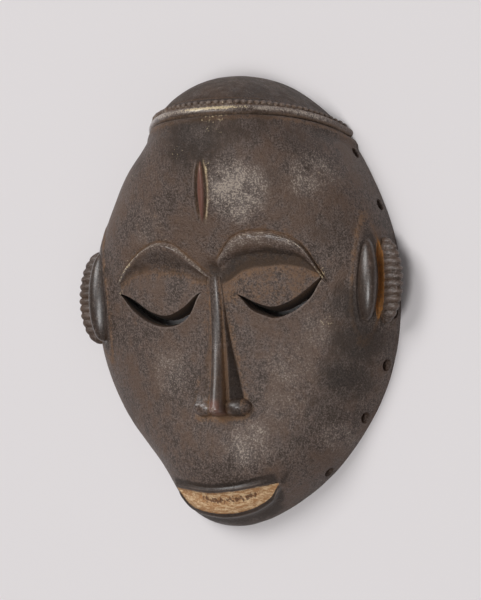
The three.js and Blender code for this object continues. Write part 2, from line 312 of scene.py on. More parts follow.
def lofted(rings: Array, first: Array | None = None, last: Array | None = None) -> Solid:
    """A closed solid through rings of points, with a point at each end.

    Args:
        rings: the rings, as an array of ring, place on the ring, and x, y, z.
        first: the end point before the first ring, or the ring's middle.
        last: the end point after the last ring, or the ring's middle.

    Returns:
        The solid, with its faces pointing out.
    """
    count, around, _ = rings.shape
    first = rings[0].mean(axis=0) if first is None else first
    last = rings[-1].mean(axis=0) if last is None else last
    points = np.vstack([rings.reshape(-1, 3), first, last])
    ring, place = np.meshgrid(np.arange(count - 1), np.arange(around), indexing="ij")
    after = (place + 1) % around
    a, b = ring * around + place, ring * around + after
    c, d = b + around, a + around
    sides = np.concatenate([np.stack([a, b, c], -1), np.stack([a, c, d], -1)]).reshape(-1, 3)
    places = np.arange(around)
    nexts = (places + 1) % around
    top = (count - 1) * around
    near = np.stack([nexts, places, np.full(around, count * around)], -1)
    far = np.stack([top + places, top + nexts, np.full(around, count * around + 1)], -1)
    return Solid(points, np.concatenate([sides, near, far])).outward()


def globe(around: int) -> tuple[Array, Array]:
    """The angles of a grid over a ball: a column down from its pole, and a row around it."""
    polar = np.linspace(0, math.pi, around // 2 + 1)[1:-1, None]
    return polar, np.linspace(0, 2 * math.pi, around, endpoint=False)[None, :]


def ellipsoid(middle: Array, radii: tuple[float, float, float], around: int = 40) -> Solid:
    """A closed ellipsoid with its long axes along x, y and z.

    Args:
        middle: its middle.
        radii: its half sizes.
        around: the count of points around it.

    Returns:
        The solid.
    """
    polar, turn = globe(around)
    rings = np.stack([np.sin(polar) * np.cos(turn), np.sin(polar) * np.sin(turn),
                      np.cos(polar) * np.ones_like(turn)], -1)
    ends = np.array([[0, 0, 1.0], [0, 0, -1.0]]) * radii + middle
    return lofted(rings * radii + middle, ends[0], ends[1])


def slab(half: float, depth: float) -> Solid:
    """A square block under the surface that the mask lies on.

    Args:
        half: half its side.
        depth: how far down it reaches.

    Returns:
        The block.
    """
    square = np.array([(half, half, 0), (-half, half, 0), (-half, -half, 0), (half, -half, 0)], float)
    return lofted(np.stack([square, square - (0, 0, depth)]))


@dataclass(frozen=True)
class Wear:
    """How a surface has aged, with painted light and shade in it: handled, blackened by soot and by painted
    shade, ochre with dust, worn pale and shining with painted sheen and highlights, worn red and chipped.
    """

    polish: Array | float = 0.0
    grime_and_shade: Array | float = 0.0
    ochre: Array | float = 0.0
    pale: Array | float = 0.0
    red: Array | float = 0.0
    chip: Array | float = 0.0

    def __or__(self, other: "Wear") -> "Wear":
        """The stronger of each kind of ageing."""
        names = [kind.name for kind in fields(Wear)]
        return Wear(*(np.maximum(getattr(self, name), getattr(other, name)) for name in names))


@dataclass(frozen=True)
class Shell:
    """The plain carved form of the mask, before any feature stands out of it or sinks in.

    Stations run from the chin to the crown. Widths and depths are multiplied by the round end
    sqrt(1 - v * v). A fullness of 0.5 makes the cross section an ellipse, and less makes it boxier.
    """

    half_length: float = HALF_LENGTH
    wall: float = 8.5
    half_widths: Stations = Stations((75.4, 76.7, 87, 90.5, 90.5, 90, 85.6, 83.4, 79.8))
    depths: Stations = Stations((63, 60, 47, 44, 47, 58, 78, 106, 129.3))
    fullness: Stations = Stations((0.55, 0.5, 0.6, 0.5, 0.44, 0.45, 0.48, 0.53, 0.55))
    sway: Stations = Stations((-7.5, 2.7, 1, 0, 0, 0.5, 1.5, 1.1, -1.5))
    pinch: float = 0.118
    pinch_y: float = 87.0
    pinch_length: float = 12.0
    passes: int = 4
    normal_step: float = 0.004
    nearest_end: float = 0.995
    nearest_rim: float = 0.998
    lumps: tuple[Unevenness, ...] = (Unevenness(11, (13, 22, 13), 1.0), Unevenness(12, (6, 9, 6), 0.6))
    lump_height: float = 0.55
    gouge_depth: float = 0.5
    gouge_width: float = 5.5

    def kept(self, v: Array, cosine: Array) -> Array:
        """The share of the half width that the pinch under the cap leaves, on the left side."""
        pinched = self.pinch * hump(self.half_length * v - self.pinch_y, self.pinch_length)
        return 1 - pinched * np.clip(-cosine, 0, 1)

    def cosine(self, x: Array, v: Array) -> Array:
        """The cosine of the turn at which the shell lies over x.

        Args:
            x: the place across.
            v: the place from the chin, -1, to the crown, 1.

        Returns:
            The cosine, 1 at the right rim and -1 at the left one.
        """
        station = (v + 1) / 2
        across = (x - self.sway.at(station)) / (self.half_widths.at(station) * np.sqrt(1 - v * v))
        cosine = across
        for _ in range(self.passes):
            cosine = across / self.kept(v, cosine)
        return cosine

    def grid(self, rows: int, columns: int) -> tuple[Array, Array]:
        """Places all over the shell: a column of v and a row of turns."""
        v = np.sin(np.linspace(-math.pi / 2, math.pi / 2, rows + 1)[1:-1, None])
        return v, np.linspace(0, math.pi, columns + 1)[None, :]

    def point(self, v: Array, turn: Array) -> Array:
        """A point of the shell.

        Args:
            v: the place from the chin, -1, to the crown, 1.
            turn: the angle over the face, from the right rim to the left one.

        Returns:
            The points, as rows of x, y and z.
        """
        v, turn = np.broadcast_arrays(v, turn)
        station = (v + 1) / 2
        end = np.sqrt(np.maximum(0, 1 - v * v))
        cosine = np.cos(turn)
        x = self.sway.at(station) + self.half_widths.at(station) * end * cosine * self.kept(v, cosine)
        rise = np.abs(np.sin(turn)) ** (2 * self.fullness.at(station))
        return np.stack([x, self.half_length * v, self.depths.at(station) * end * rise], -1)

    def normal(self, v: Array, turn: Array) -> Array:
        """The way the shell faces at a point.

        Args:
            v: the place from the chin, -1, to the crown, 1.
            turn: the angle over the face, from the right rim to the left one.

        Returns:
            The ways, as rows of x, y and z.
        """
        step = self.normal_step
        v = np.clip(v, 2 * step - 1, 1 - 2 * step)
        turn = np.clip(turn, step, math.pi - step)
        lengthwise = self.point(v + step, turn) - self.point(v - step, turn)
        around = self.point(v, turn + step) - self.point(v, turn - step)
        facing = np.cross(lengthwise, around)
        return facing / np.linalg.norm(facing, axis=-1, keepdims=True)

    def over(self, x: Array, y: Array) -> tuple[Array, Array]:
        """The shell over a place on the face.

        Args:
            x: the place across.
            y: the place along.

        Returns:
            The points there, and the ways the shell faces.
        """
        v = np.clip(y / self.half_length, -self.nearest_end, self.nearest_end)
        cosine = np.clip(self.cosine(x, v), -self.nearest_rim, self.nearest_rim)
        turn = np.arccos(cosine)
        return self.point(v, turn), self.normal(v, turn)

    def lifted(self, x: Array, y: Array, height: Array) -> Array:
        """The points at a height out of the shell over places on the face."""
        point, facing = self.over(x, y)
        return point + facing * np.asarray(height)[..., None]

    def deep(self, points: Array) -> Array:
        """How far inside the shell points lie.

        Args:
            points: the points, as rows of x, y and z.

        Returns:
            Their depths, less than 0 outside it.
        """
        v = np.clip(points[..., 1] / self.half_length, -0.999, 0.999)
        station = (v + 1) / 2
        reach = self.depths.at(station) * np.sqrt(1 - v * v)
        rise = np.maximum(points[..., 2], 0) / reach
        fill = self.cosine(points[..., 0], v) ** 2 + rise ** (1 / self.fullness.at(station))
        return (1 - np.sqrt(fill)) * reach

    def hollow(self, rows: int = 150, columns: int = 110) -> Solid:
        """The hollow behind the face, a wall's thickness inside the shell, with gouge marks.

        Args:
            rows: rows of points from the chin to the crown.
            columns: points over the face in each row.

        Returns:
            The hollow as a solid that runs out through the rim.
        """
        v, turn = self.grid(rows, columns)
        surface, facing = self.point(v, turn), self.normal(v, turn)
        lumps = sum(lump.at(surface) for lump in self.lumps)
        gouges = np.abs(np.sin(surface[..., 0] / self.gouge_width + 2 * lumps))
        inset = self.wall + self.lump_height * lumps - self.gouge_depth * gouges
        surface = surface - facing * inset[..., None]
        surface[:, [0, -1], 2] = 0
        below = surface[:, [-1, 0]] * (1, 1, 0) - (0, 0, self.wall)
        return lofted(np.concatenate([surface, below], axis=1))


@dataclass(frozen=True)
class Eye:
    """One lowered eye under its brow. Each contour is measured outwards from the middle line."""

    side: Side
    brow_top: Contour
    brow_low: Contour
    lid_top: Contour
    slit_upper: Contour
    slit_lower: Contour
    shade: float = 0.5
    swell: float = 0.8
    edge: float = 2.2
    socket_depth: float = 1.7
    socket_reach: float = 9.0
    brow_bulge: float = 1.15
    brow_groove: Swell = Swell(0.9, 0.55, -0.7)
    lid_crown: float = 1.9
    lid_bulge: float = 1.4
    lower_lid: Swell = Swell(-0.9, 0.9, 0.3)
    bevel: float = 0.22
    hood: float = 0.34
    # How strong the painted sheen on the brow is
    sheen: float = 0.6
    # How dark the painted shade in the socket is
    dirt: float = 1.0
    tan: float = 0.05
    passage: tuple[float, float] = (0.78, 0.6)
    blind_depth: float = 7.0
    cutter_top: float = 8.0
    cutter_foot: float = -20.0

    def ends(self, out: Array) -> Array:
        """1 along the brow, fading to 0 at both of its ends."""
        return span(self.brow_top.share(out), 0, 0.08, 0.93, 1)

    def brow(self, out: Array, y: Array) -> Array:
        """The height of the brow and its socket: down from the lid, then up to a crisp edge.

        Args:
            out: the places outwards from the middle line.
            y: the same places in y.

        Returns:
            The heights there.
        """
        top, low, lid = self.brow_top.at(out), self.brow_low.at(out), self.lid_top.at(out)
        ends = self.ends(out)
        depth = self.socket_depth * np.sqrt(np.sin(math.pi * np.clip(self.lid_top.share(out), 0, 1)))
        across = np.clip((y - low) / np.maximum(top - low, 0.8), 0, 1)
        rise = np.sin(0.5 * math.pi * across**self.brow_bulge) ** self.swell
        sunk = -depth * smooth(lid - self.socket_reach, lid + 0.5, y)
        body = np.where(y < low, sunk, mixed(-depth, self.edge * ends, rise))
        return body * smooth(0.45, -0.55, y - top) + ends * self.brow_groove.soft(y - top)

    def lid(self, out: Array, y: Array) -> Array:
        """The height of the lid, a broad almond that overhangs the slit.

        Args:
            out: the places outwards from the middle line.
            y: the same places in y.

        Returns:
            The heights there.
        """
        lid, upper, lower = self.lid_top.at(out), self.slit_upper.at(out), self.slit_lower.at(out)
        across = np.clip((y - upper) / np.maximum(lid - upper, 1), 0, 1)
        ends = np.sqrt(np.sin(math.pi * np.clip(self.slit_upper.share(out), 0, 1)))
        crest = self.lid_crown * np.cos(0.5 * math.pi * across**self.lid_bulge) ** 0.9
        body = (y < lid) * smooth(lower - 0.1, upper + 0.1, y)
        return ends * (crest * body + self.lower_lid.soft(y - lower))

    def relief(self, place: Array) -> Array:
        """The height of the whole eye out of the shell at points of it."""
        out, y = self.side.value * place[..., 0], place[..., 1]
        return smooth(-4, 3, out) * (self.brow(out, y) + self.lid(out, y))

    def wear(self, place: Array) -> Wear:
        """Painted shade in the socket, polish, painted sheen on the brow, and a painted highlight of pale
        nicks along the brow's edge.

        Args:
            place: points of the shell.

        Returns:
            The wear there.
        """
        out, y = self.side.value * place[..., 0], place[..., 1]
        top, lid, ends = self.brow_top.at(out), self.lid_top.at(out), self.ends(out)
        across = (y - lid) / np.maximum(top - lid, 1)
        # Painted shade in the socket under the brow, warmed a little with ochre
        sunk = self.dirt * ends * span(across, -0.08, 0.14, self.shade - 0.2, self.shade + 0.25)
        edge = ends * hump(y - top + 0.9, 1.3)
        # Painted sheen on the upper part of the brow
        painted_sheen = self.sheen * ends * smooth(0.4, 0.85, across) * smooth(0.3, -0.5, y - top)
        corner = hump(out - self.slit_upper.end, 3.5) * hump(y - self.slit_upper.heights[-1] - 2, 5)
        bare = self.tan * ends * smooth(lid + 1, lid - 3, y) * smooth(-3, 2, y - self.slit_upper.at(out))
        # Painted highlight along the brow's top edge, laid as pale nicks
        edge_highlight = 0.9 * ends * hump(y - top + 0.55, 0.75)
        rim = 0.5 * hump(y - lid - 0.6, 3.2) + 0.3 * hump(y - top - 2.4, 2.2)
        return Wear(polish=edge + 0.5 * ends * smooth(0.5, 0.9, across) * (y < top), grime_and_shade=sunk,
                    ochre=bare + 0.4 * sunk + ends * rim, pale=np.maximum(painted_sheen, edge_highlight),
                    chip=np.maximum(corner, 0.8 * edge_highlight))

    def slit(self, shell: Shell, steps: int = 90) -> Solid:
        """The cutter of the sight slit. Its lower wall is bevelled, so that it shows from the front.

        Args:
            shell: the shell that it cuts.
            steps: sections along the slit.

        Returns:
            The cutter.
        """
        start, end = self.slit_upper.start, self.slit_upper.end
        out = mixed(start, end, 0.5 - 0.5 * np.cos(np.linspace(0.02, math.pi - 0.02, steps)))
        upper, lower = self.slit_upper.at(out), self.slit_lower.at(out)
        gap = np.maximum(upper - lower, 0.25)
        top, foot = self.cutter_top, self.cutter_foot
        outline = [(0, 1, top), (0, 1, -1), (-self.hood, 1, -5), (-self.hood, 1, foot),
                   (self.bevel + 0.05, 0, foot), (self.bevel, 0, -4.2), (0.03, 0, -0.4), (-0.06, 0, 0.9),
                   (-0.06, 0, top)]
        face = shell.over(self.side.value * out, (upper + lower) / 2)[0][:, 2]
        through = smooth(*self.passage, self.slit_upper.share(out))
        corners = []
        for shift, edge, depth in outline:
            y = lower + gap * (edge + shift)
            reach = mixed(np.maximum(depth, 0.1 * shift - self.blind_depth), depth, through)
            corners.append(np.stack([self.side.value * out, y, face + reach], -1))
        return lofted(np.stack(corners, axis=1))

    def slit_shade(self, place: Array, deep: Array) -> Array:
        """Where the walls of the sight slit are, which are painted black as shade.

        Args:
            place: points of the mask.
            deep: how far inside the shell they lie.

        Returns:
            1 on the walls, from a little under the surface to the hollow, and 0 off them.
        """
        out, y = self.side.value * place[..., 0], place[..., 1]
        upper, lower, share = self.slit_upper.at(out), self.slit_lower.at(out), self.slit_upper.share(out)
        across = smooth(-2.5, -0.5, y - lower) * smooth(2.5, 0.5, y - upper)
        return across * span(share, -0.06, 0, 1, 1.06) * span(deep, 0.7, 2.4, 7.4, 8.2)


@dataclass(frozen=True)
class Flank:
    """One side of the nose: stations from the root to the tip, measured out from its middle line."""

    groove: Stations
    groove_height: Stations
    wing: Stations
    wing_height: Stations
    foot: Stations
    notch: float
    roll_place: tuple[float, float, float]
    roll_size: tuple[float, float, float]


@dataclass(frozen=True)
class Nose:
    """The long nose: a rod along the middle between two wings that spread towards the tip."""

    root: float = 10.0
    tip: float = -62.0
    under: float = -65.2
    buried: float = 5.0
    axis: Stations = Stations((0.4, 1, 1.5, 2, 2.3))
    ridge: Stations = Stations((0.6, 2.6, 5.2, 8.8, 12))
    rod: Stations = Stations((2.4, 2.6, 2.9, 3.2, 3.8))
    dent: Spot = Spot(0.8, 13.5, 5.5, 5, -2.4)
    # Painted shade in the dent between the brows
    dent_shade: Spot = Spot(1.5, 12.5, 6, 6)
    root_dust: Spot = Spot(11, 2, 6, 8, 0.7)
    right: Flank = Flank(
        groove=Stations((3.3, 3.4, 3.6, 3.9, 4.5)), groove_height=Stations((-1, 0.5, 2, 3.4, 4)),
        wing=Stations((3.8, 4.6, 5.8, 6.5, 7.2)), wing_height=Stations((-1, 1, 3, 5.2, 6.6)),
        foot=Stations((4.4, 5.2, 7.2, 10.4, 13.4)), notch=1.1,
        roll_place=(9.0, -60.3, 0.8), roll_size=(8.2, 5.2, 6.4))
    left: Flank = Flank(
        groove=Stations((3.1, 3.3, 3.8, 5.2, 7)), groove_height=Stations((-1, 0.4, 1.4, 2.3, 3)),
        wing=Stations((3.8, 4.4, 5.8, 10, 14.4)), wing_height=Stations((-1, 0.6, 2.1, 4.2, 5.6)),
        foot=Stations((4.4, 4.9, 7.4, 12.2, 16.8)), notch=0.3,
        roll_place=(10.4, -60.3, 0.2), roll_size=(7.0, 5.0, 5.0))

    def share(self, y: Array) -> Array:
        """How far down the nose y is, from 0 at its root to 1 at its tip."""
        return np.clip((self.root - y) / (self.root - self.tip), 0, 1)

    def profile(self, t: Array, y: Array, flank: Flank) -> tuple[Array, Array]:
        """One side's outline from the foot up to the rod.

        Args:
            t: the places from the root to the tip, 0 to 1.
            y: the same places in y.
            flank: the side.

        Returns:
            How far out the outline's corners are, and how high above the shell.
        """
        ridge, rod = self.ridge.at(t), self.rod.at(t)
        kept = smooth(-63, -59.6, y)
        valley = flank.groove_height.at(t) * mixed(0.5, 1, kept)
        wing = flank.wing_height.at(t) * kept - flank.notch * hump(y + 57.3, 0.55)
        outs = [flank.foot.at(t), flank.foot.at(t), mixed(flank.wing.at(t), flank.foot.at(t), 0.12),
                flank.wing.at(t), mixed(flank.wing.at(t), flank.groove.at(t), 0.25), flank.groove.at(t),
                rod, 0.74 * rod]
        highs = [0 * t - self.buried, 0 * t - 0.3, mixed(wing, 0 * t, 0.1), wing, mixed(wing, valley, 0.3),
                 valley, mixed(valley, ridge, 0.58), mixed(valley, ridge, 0.88)]
        return np.stack(outs, -1), np.stack(highs, -1)

    def solid(self, shell: Shell, rings: int = 150, between: int = 5) -> Solid:
        """The rod and wings in one piece.

        Args:
            shell: the shell that the nose stands on.
            rings: sections along the nose.
            between: points from one corner of a section to the next.

        Returns:
            The solid.
        """
        y = np.concatenate([np.linspace(self.root, self.tip, rings),
                            self.tip + (self.under - self.tip) * np.sin(np.linspace(0.15, 1.5, 12))])
        round_off = np.clip((y - self.tip) / (self.under - self.tip), 0, 1)
        lift = np.sqrt(1 - round_off**2) ** 1.2
        t = self.share(y)
        out_right, high_right = self.profile(t, y, self.right)
        out_left, high_left = self.profile(t, y, self.left)
        outs = np.concatenate([out_right, 0 * t[:, None], -out_left[:, ::-1]], axis=1)
        highs = np.concatenate([high_right, self.ridge.at(t)[:, None], high_left[:, ::-1]], axis=1)
        corners = np.linspace(0, 1, (outs.shape[1] - 1) * between + 1)
        outs = np.stack([Stations(tuple(row)).at(corners) for row in outs])
        highs = np.stack([Stations(tuple(row)).at(corners) for row in highs])
        outs *= mixed(0.72, 1, lift)[:, None]
        highs = np.where(highs > 0, highs * lift[:, None], highs)
        x = self.axis.at(t)[:, None] + outs
        point, _ = shell.over(x, np.broadcast_to(y[:, None], x.shape))
        point[..., 0], point[..., 2] = x, point[..., 2] + highs
        return lofted(point)

    def rolls(self, shell: Shell) -> list[Solid]:
        """The rolled ends of the two wings, over the nostrils.

        Args:
            shell: the shell that the nose stands on.

        Returns:
            The two solids.
        """
        made = []
        for side, flank in ((Side.RIGHT, self.right), (Side.LEFT, self.left)):
            out, y, height = flank.roll_place
            x = self.axis.at(np.array(1.0)) + side.value * out
            middle = shell.over(x, np.array(y))[0] + (0, 0, height)
            made.append(ellipsoid(middle, flank.roll_size))
        return made

    def relief(self, place: Array) -> Array:
        """The dark dent between the brows, above the nose's root."""
        return self.dent.at(place)

    def wear(self, place: Array) -> Wear:
        """A handled rod and rolls, ochre dust in the grooves and round the foot, and painted shade on the
        right flank and in the dent between the brows.

        Args:
            place: points of the shell.

        Returns:
            The wear there.
        """
        x, y = place[..., 0], place[..., 1]
        t = self.share(y)
        out = x - self.axis.at(t)
        along = span(y, self.under - 1.5, self.under + 1, self.root - 3, self.root + 2)
        far = np.abs(out)
        foot = np.where(out > 0, self.right.foot.at(t), self.left.foot.at(t))
        groove = np.where(out > 0, self.right.groove.at(t), self.left.groove.at(t))
        rod = along * smooth(self.rod.at(t) + 0.6, self.rod.at(t) - 0.8, far)
        rolls = hump(y + 60.5, 4.5) * smooth(foot + 2, foot - 2, far)
        wing = self.right.wing.at(t)
        # Painted shade on the right flank, which faces away from the light
        flank = along * smooth(wing - 0.3, wing + 0.8, out) * smooth(0.8, -0.5, far - foot)
        under = hump(y - self.under + 1.2, 2.6) * smooth(foot + 3, foot - 2, far)
        halo = span(y, self.under - 5, self.under, self.root - 8, self.root + 8)
        halo = halo * hump(np.maximum(far - foot, 0), 3.6) * np.where(out > 0, 0.85, 0.5) * (far > foot - 0.5)
        dusty = 0.6 * along * hump(far - groove, 0.9)
        ochre = np.maximum.reduce([0.7 * halo, 0.8 * under, dusty, self.root_dust.at(place)])
        tip = hump(y - self.tip, 5.5) * hump(out + 1, 5) * smooth(self.under - 1, self.under + 1, y)
        # Painted shade on the flank and in the dent, with the dark rod and right roll
        dark = np.maximum.reduce([1.1 * flank, self.dent_shade.at(place), 0.7 * rod * (1 - tip),
                                  0.7 * rolls * (out > 0)])
        return Wear(polish=np.maximum(rod, rolls), grime_and_shade=dark, ochre=ochre, red=1.15 * tip,
                    pale=0.6 * hump(out + 0.5, 2.5) * hump(y - self.tip, 3))


@dataclass(frozen=True)
class Scar:
    """The raised scar on the forehead, in a narrow dent with raised lips."""

    x: float = 0.9
    y: float = 55.5
    tilt: float = 0.12
    half_length: float = 17.0
    half_width: float = 2.3
    height: float = 1.3
    dent: Swell = Swell(0.4, 0.75, -1.0)
    lips: Swell = Swell(2.2, 1.0, 0.7)

    def spread(self, place: Array) -> tuple[Array, Array]:
        """How far out points lie.

        Args:
            place: the points.

        Returns:
            0 on the middle line to 1 on the scar's edge, and the distance beyond the edge to the right.
        """
        along = (place[..., 1] - self.y) / self.half_length
        half = self.half_width * np.clip(1 - along**2, 0, 1)
        across = place[..., 0] - self.x - self.tilt * (place[..., 1] - self.y)
        return np.abs(across) / np.maximum(half, 0.15), across - half

    def along(self, place: Array) -> Array:
        """1 along the scar, fading to 0 at its ends."""
        return smooth(self.half_length + 2.5, self.half_length - 7, np.abs(place[..., 1] - self.y))

    def relief(self, place: Array) -> Array:
        """The scar's height out of the shell at points of it.

        Args:
            place: points of the shell.

        Returns:
            The heights there.
        """
        spread, _ = self.spread(place)
        share = (place[..., 1] - self.y) / self.half_length
        off = (spread - 1) * self.half_width * np.clip(1 - share**2, 0.07, 1)
        core = self.height * dome(spread, 1.0)
        return self.along(place) * (core + self.dent.soft(off) + self.lips.soft(off))

    def wear(self, place: Array) -> Wear:
        """A dark dent, with ochre dust along its right lip.

        Args:
            place: points of the shell.

        Returns:
            The wear there.
        """
        spread, beyond = self.spread(place)
        along = self.along(place)
        return Wear(grime_and_shade=0.6 * along * smooth(2.0, 1.5, spread), ochre=along * hump(beyond - 1.8, 1.2),
                    pale=0.5 * along * hump(beyond - 1.8, 0.9), polish=along * smooth(1.2, 0.7, spread))


@dataclass(frozen=True)
class Mouth:
    """The crescent of the mouth: a pale sunk facet under a raised upper lip, with a row of tooth pits."""

    upper: Contour = Contour(-37, 30.6, (-103.3, -104.2, -105.2, -106.4, -106.9, -106.5, -105.7, -104.4,
                                         -102.7, -101.1))
    lower: Contour = Contour(-37, 30.6, (-103.6, -112.4, -115.9, -117.4, -118.1, -117.7, -116.1, -113.2,
                                         -108.7, -101.3))
    teeth: Contour = Contour(-20, 20, (-108.7, -110.9, -110.8, -109.4, -106.4))
    sink: float = 1.1
    lip_height: float = 1.3
    rim: Swell = Swell(1.2, 0.8, 1.0)
    gully: Swell = Swell(3.6, 1.5, -0.5)
    crease_start: tuple[float, float] = (31.5, -100.6)
    crease_run: tuple[float, float] = (6.5, 7.5)
    crease_width: float = 1.3
    crease_depth: float = 1.1
    tooth_pitch: float = 2.4
    tooth_size: float = 0.75
    tooth_shape: dict[str, float] = field(
        default_factory=lambda: {"Along": 0.9, "Across": 1.5, "Spread": 0.5})

    def ends(self, x: Array) -> Array:
        """1 along the mouth, fading to 0 at its corners."""
        return span(self.upper.share(x), 0, 0.05, 0.95, 1.01)

    def crease(self, place: Array) -> Array:
        """The dark crease that runs up from the right corner.

        Args:
            place: points of the shell.

        Returns:
            1 in the crease, fading to 0 beside it.
        """
        start, run = np.array(self.crease_start), np.array(self.crease_run)
        away = place[..., :2] - start
        along = np.clip(away @ run / (run @ run), 0, 1)
        off = np.linalg.norm(away - along[..., None] * run, axis=-1)
        return hump(off, self.crease_width) * (1 - 0.6 * along)

    def relief(self, place: Array) -> Array:
        """The mouth's height out of the shell at points of it.

        Args:
            place: points of the shell.

        Returns:
            The heights there.
        """
        x, y = place[..., 0], place[..., 1]
        upper, lower = self.upper.at(x), self.lower.at(x)
        below = upper - y
        share = np.clip(below / np.maximum(upper - lower, 0.6), 0, 1)
        floor = -self.sink * mixed(1, 0.3, smooth(0.35, 0.85, share))
        inside = smooth(-0.3, 0.35, below) * smooth(-0.35, 0.3, y - lower)
        lip = span(below, -3.4, -2.0, -0.7, 0.2) * smooth(1, 0.8, self.upper.share(x))
        rim = self.rim.soft(lower - y) + self.gully.soft(lower - y)
        carved = self.ends(x) * (floor * inside + self.lip_height * lip + rim)
        return carved - self.crease_depth * self.crease(place)

    def facet(self, place: Array) -> Array:
        """How far points lie inside the facet's edge, and less than 0 outside it.

        Args:
            place: points of the shell.

        Returns:
            The distances, kept between -3 and 6.
        """
        x, y = place[..., 0], place[..., 1]
        inside = np.minimum(self.upper.at(x) - y, y - self.lower.at(x))
        return np.clip(np.minimum(inside, self.upper.end - 1.2 - x), -3, 6)

    def tooth(self, place: Array) -> Array:
        """1 along the row of teeth, fading to 0 beside it."""
        x = place[..., 0]
        return hump(place[..., 1] - self.teeth.at(x), 2.7) * span(self.teeth.share(x), 0, 0.12, 0.88, 1)

    def wear(self, place: Array) -> Wear:
        """A handled lip over a black line, a dark rim below, and painted shade in the crease at the right
        corner.

        Args:
            place: points of the shell.

        Returns:
            The wear there.
        """
        x, y = place[..., 0], place[..., 1]
        ends = self.ends(x)
        above, under = y - self.upper.at(x), self.lower.at(x) - y
        dark = 1.3 * np.maximum(span(above, -0.6, 0.2, 3.5, 6.5), span(under, -0.4, 0.4, 3, 9))
        lip = hump(above - 2.4, 1.6) * smooth(24, 10, np.abs(x + 2))
        # The crease at the right corner is darkened as painted shade
        return Wear(polish=ends * np.maximum(lip, hump(under - 1.2, 1.2)),
                    grime_and_shade=np.maximum(ends * dark, self.crease(place)))

    def tooth_path(self, shell: Shell, steps: int = 60) -> Array:
        """The line that the tooth pits follow, on the facet."""
        x = np.linspace(self.teeth.start, self.teeth.end, steps)
        return shell.lifted(x, self.teeth.at(x), np.full(steps, 0.5 - self.sink))


@dataclass(frozen=True)
class Band:
    """The band that edges the cap: a beaded ridge, a plain ridge and a groove. It dips towards the rim."""

    y: float = 102.8
    tilt: float = 0.05
    drop: float = 11.5
    depth: float = 66.0
    bed: Ledge = Ledge((-6.8, -6.2, 1.9, 2.8), 0.45)
    beaded: Swell = Swell(-0.8, 2.0, 0.6)
    plain: Swell = Swell(-4.3, 1.9, 1.5)
    hem: Ledge = Ledge((-14, -10.5, -8.4, -7.2), 0.8)
    grooves: tuple[Swell, ...] = (Swell(-7.1, 0.7, -0.9), Swell(2.7, 0.5, -0.35))
    cap_sink: float = 0.3
    bead_pitch: float = 3.7
    bead_size: float = 1.65
    bead_shape: dict[str, float] = field(default_factory=lambda: {"Along": 1.08, "Across": 0.95})

    def line(self, place: Array) -> Array:
        """The y of the beaded line beside points of the shell."""
        return self.y + self.tilt * place[..., 0] - self.drop * (1 - place[..., 2] / self.depth) ** 2

    def swell(self, place: Array) -> Array:
        """How much more the band stands out at the sides than in front."""
        return 1 + 0.7 * smooth(50, 20, place[..., 2])

    def relief(self, place: Array) -> Array:
        """The band's height out of the shell at points of it.

        Args:
            place: points of the shell.

        Returns:
            The heights there.
        """
        s = place[..., 1] - self.line(place)
        raised = self.beaded.round(s) + self.plain.round(s) + self.hem.at(s) + self.bed.at(s)
        lines = sum(groove.soft(s) for groove in self.grooves)
        return self.swell(place) * (raised + lines) - self.cap_sink * smooth(1.9, 3.2, s)

    def wear(self, place: Array) -> Wear:
        """Black grooves, a cap darkened with soot and painted shade, a pale plain ridge partly shining with a
        painted highlight, and ochre dust under it.

        Args:
            place: points of the shell.

        Returns:
            The wear there.
        """
        s = place[..., 1] - self.line(place)
        front = smooth(5, 35, place[..., 2])
        # The cap above the band is darkened with soot and painted shade
        dark = np.maximum.reduce([hump(s + 7.2, 1.1), hump(s - 1.6, 0.9), 0.65 * smooth(1.4, 4, s)])
        centre = smooth(50, 10, np.abs(place[..., 0] - 5))
        scraped = smooth(36, 6, np.abs(place[..., 0] - 8))
        # Worn pale on the ridges, partly a painted highlight on the plain ridge
        worn = 0.4 * hump(s + 0.8, 1.2) + (0.9 + 0.35 * centre) * hump(s + 3.7, 1.5)
        chip = scraped * (1.3 * hump(s + 3.6, 1.4) + 0.35 * hump(s + 10.5, 4)) + 0.5 * hump(s + 0.8, 1.2)
        return Wear(polish=hump(s + 4.3, 2), grime_and_shade=dark, pale=front * worn, chip=front * chip,
                    ochre=0.65 * hump(s + 9.4, 2.0) + 0.6 * hump(s + 2.2, 1.2) + 0.4 * smooth(-2, 1, s))

    def path(self, shell: Shell, steps: int = 400) -> Array:
        """The beaded line over the head, from one rim to the other.

        Args:
            shell: the shell that the band lies on.
            steps: points along the line.

        Returns:
            The points, a little above the shell.
        """
        turn = np.linspace(0.02, math.pi - 0.02, steps)
        v = np.full(steps, self.y) / shell.half_length
        for _ in range(12):
            v = self.line(shell.point(v, turn)) / shell.half_length
        place = shell.point(v - 0.8 / shell.half_length, turn)
        return place + shell.normal(v, turn) * (0.8 * self.swell(place))[:, None]


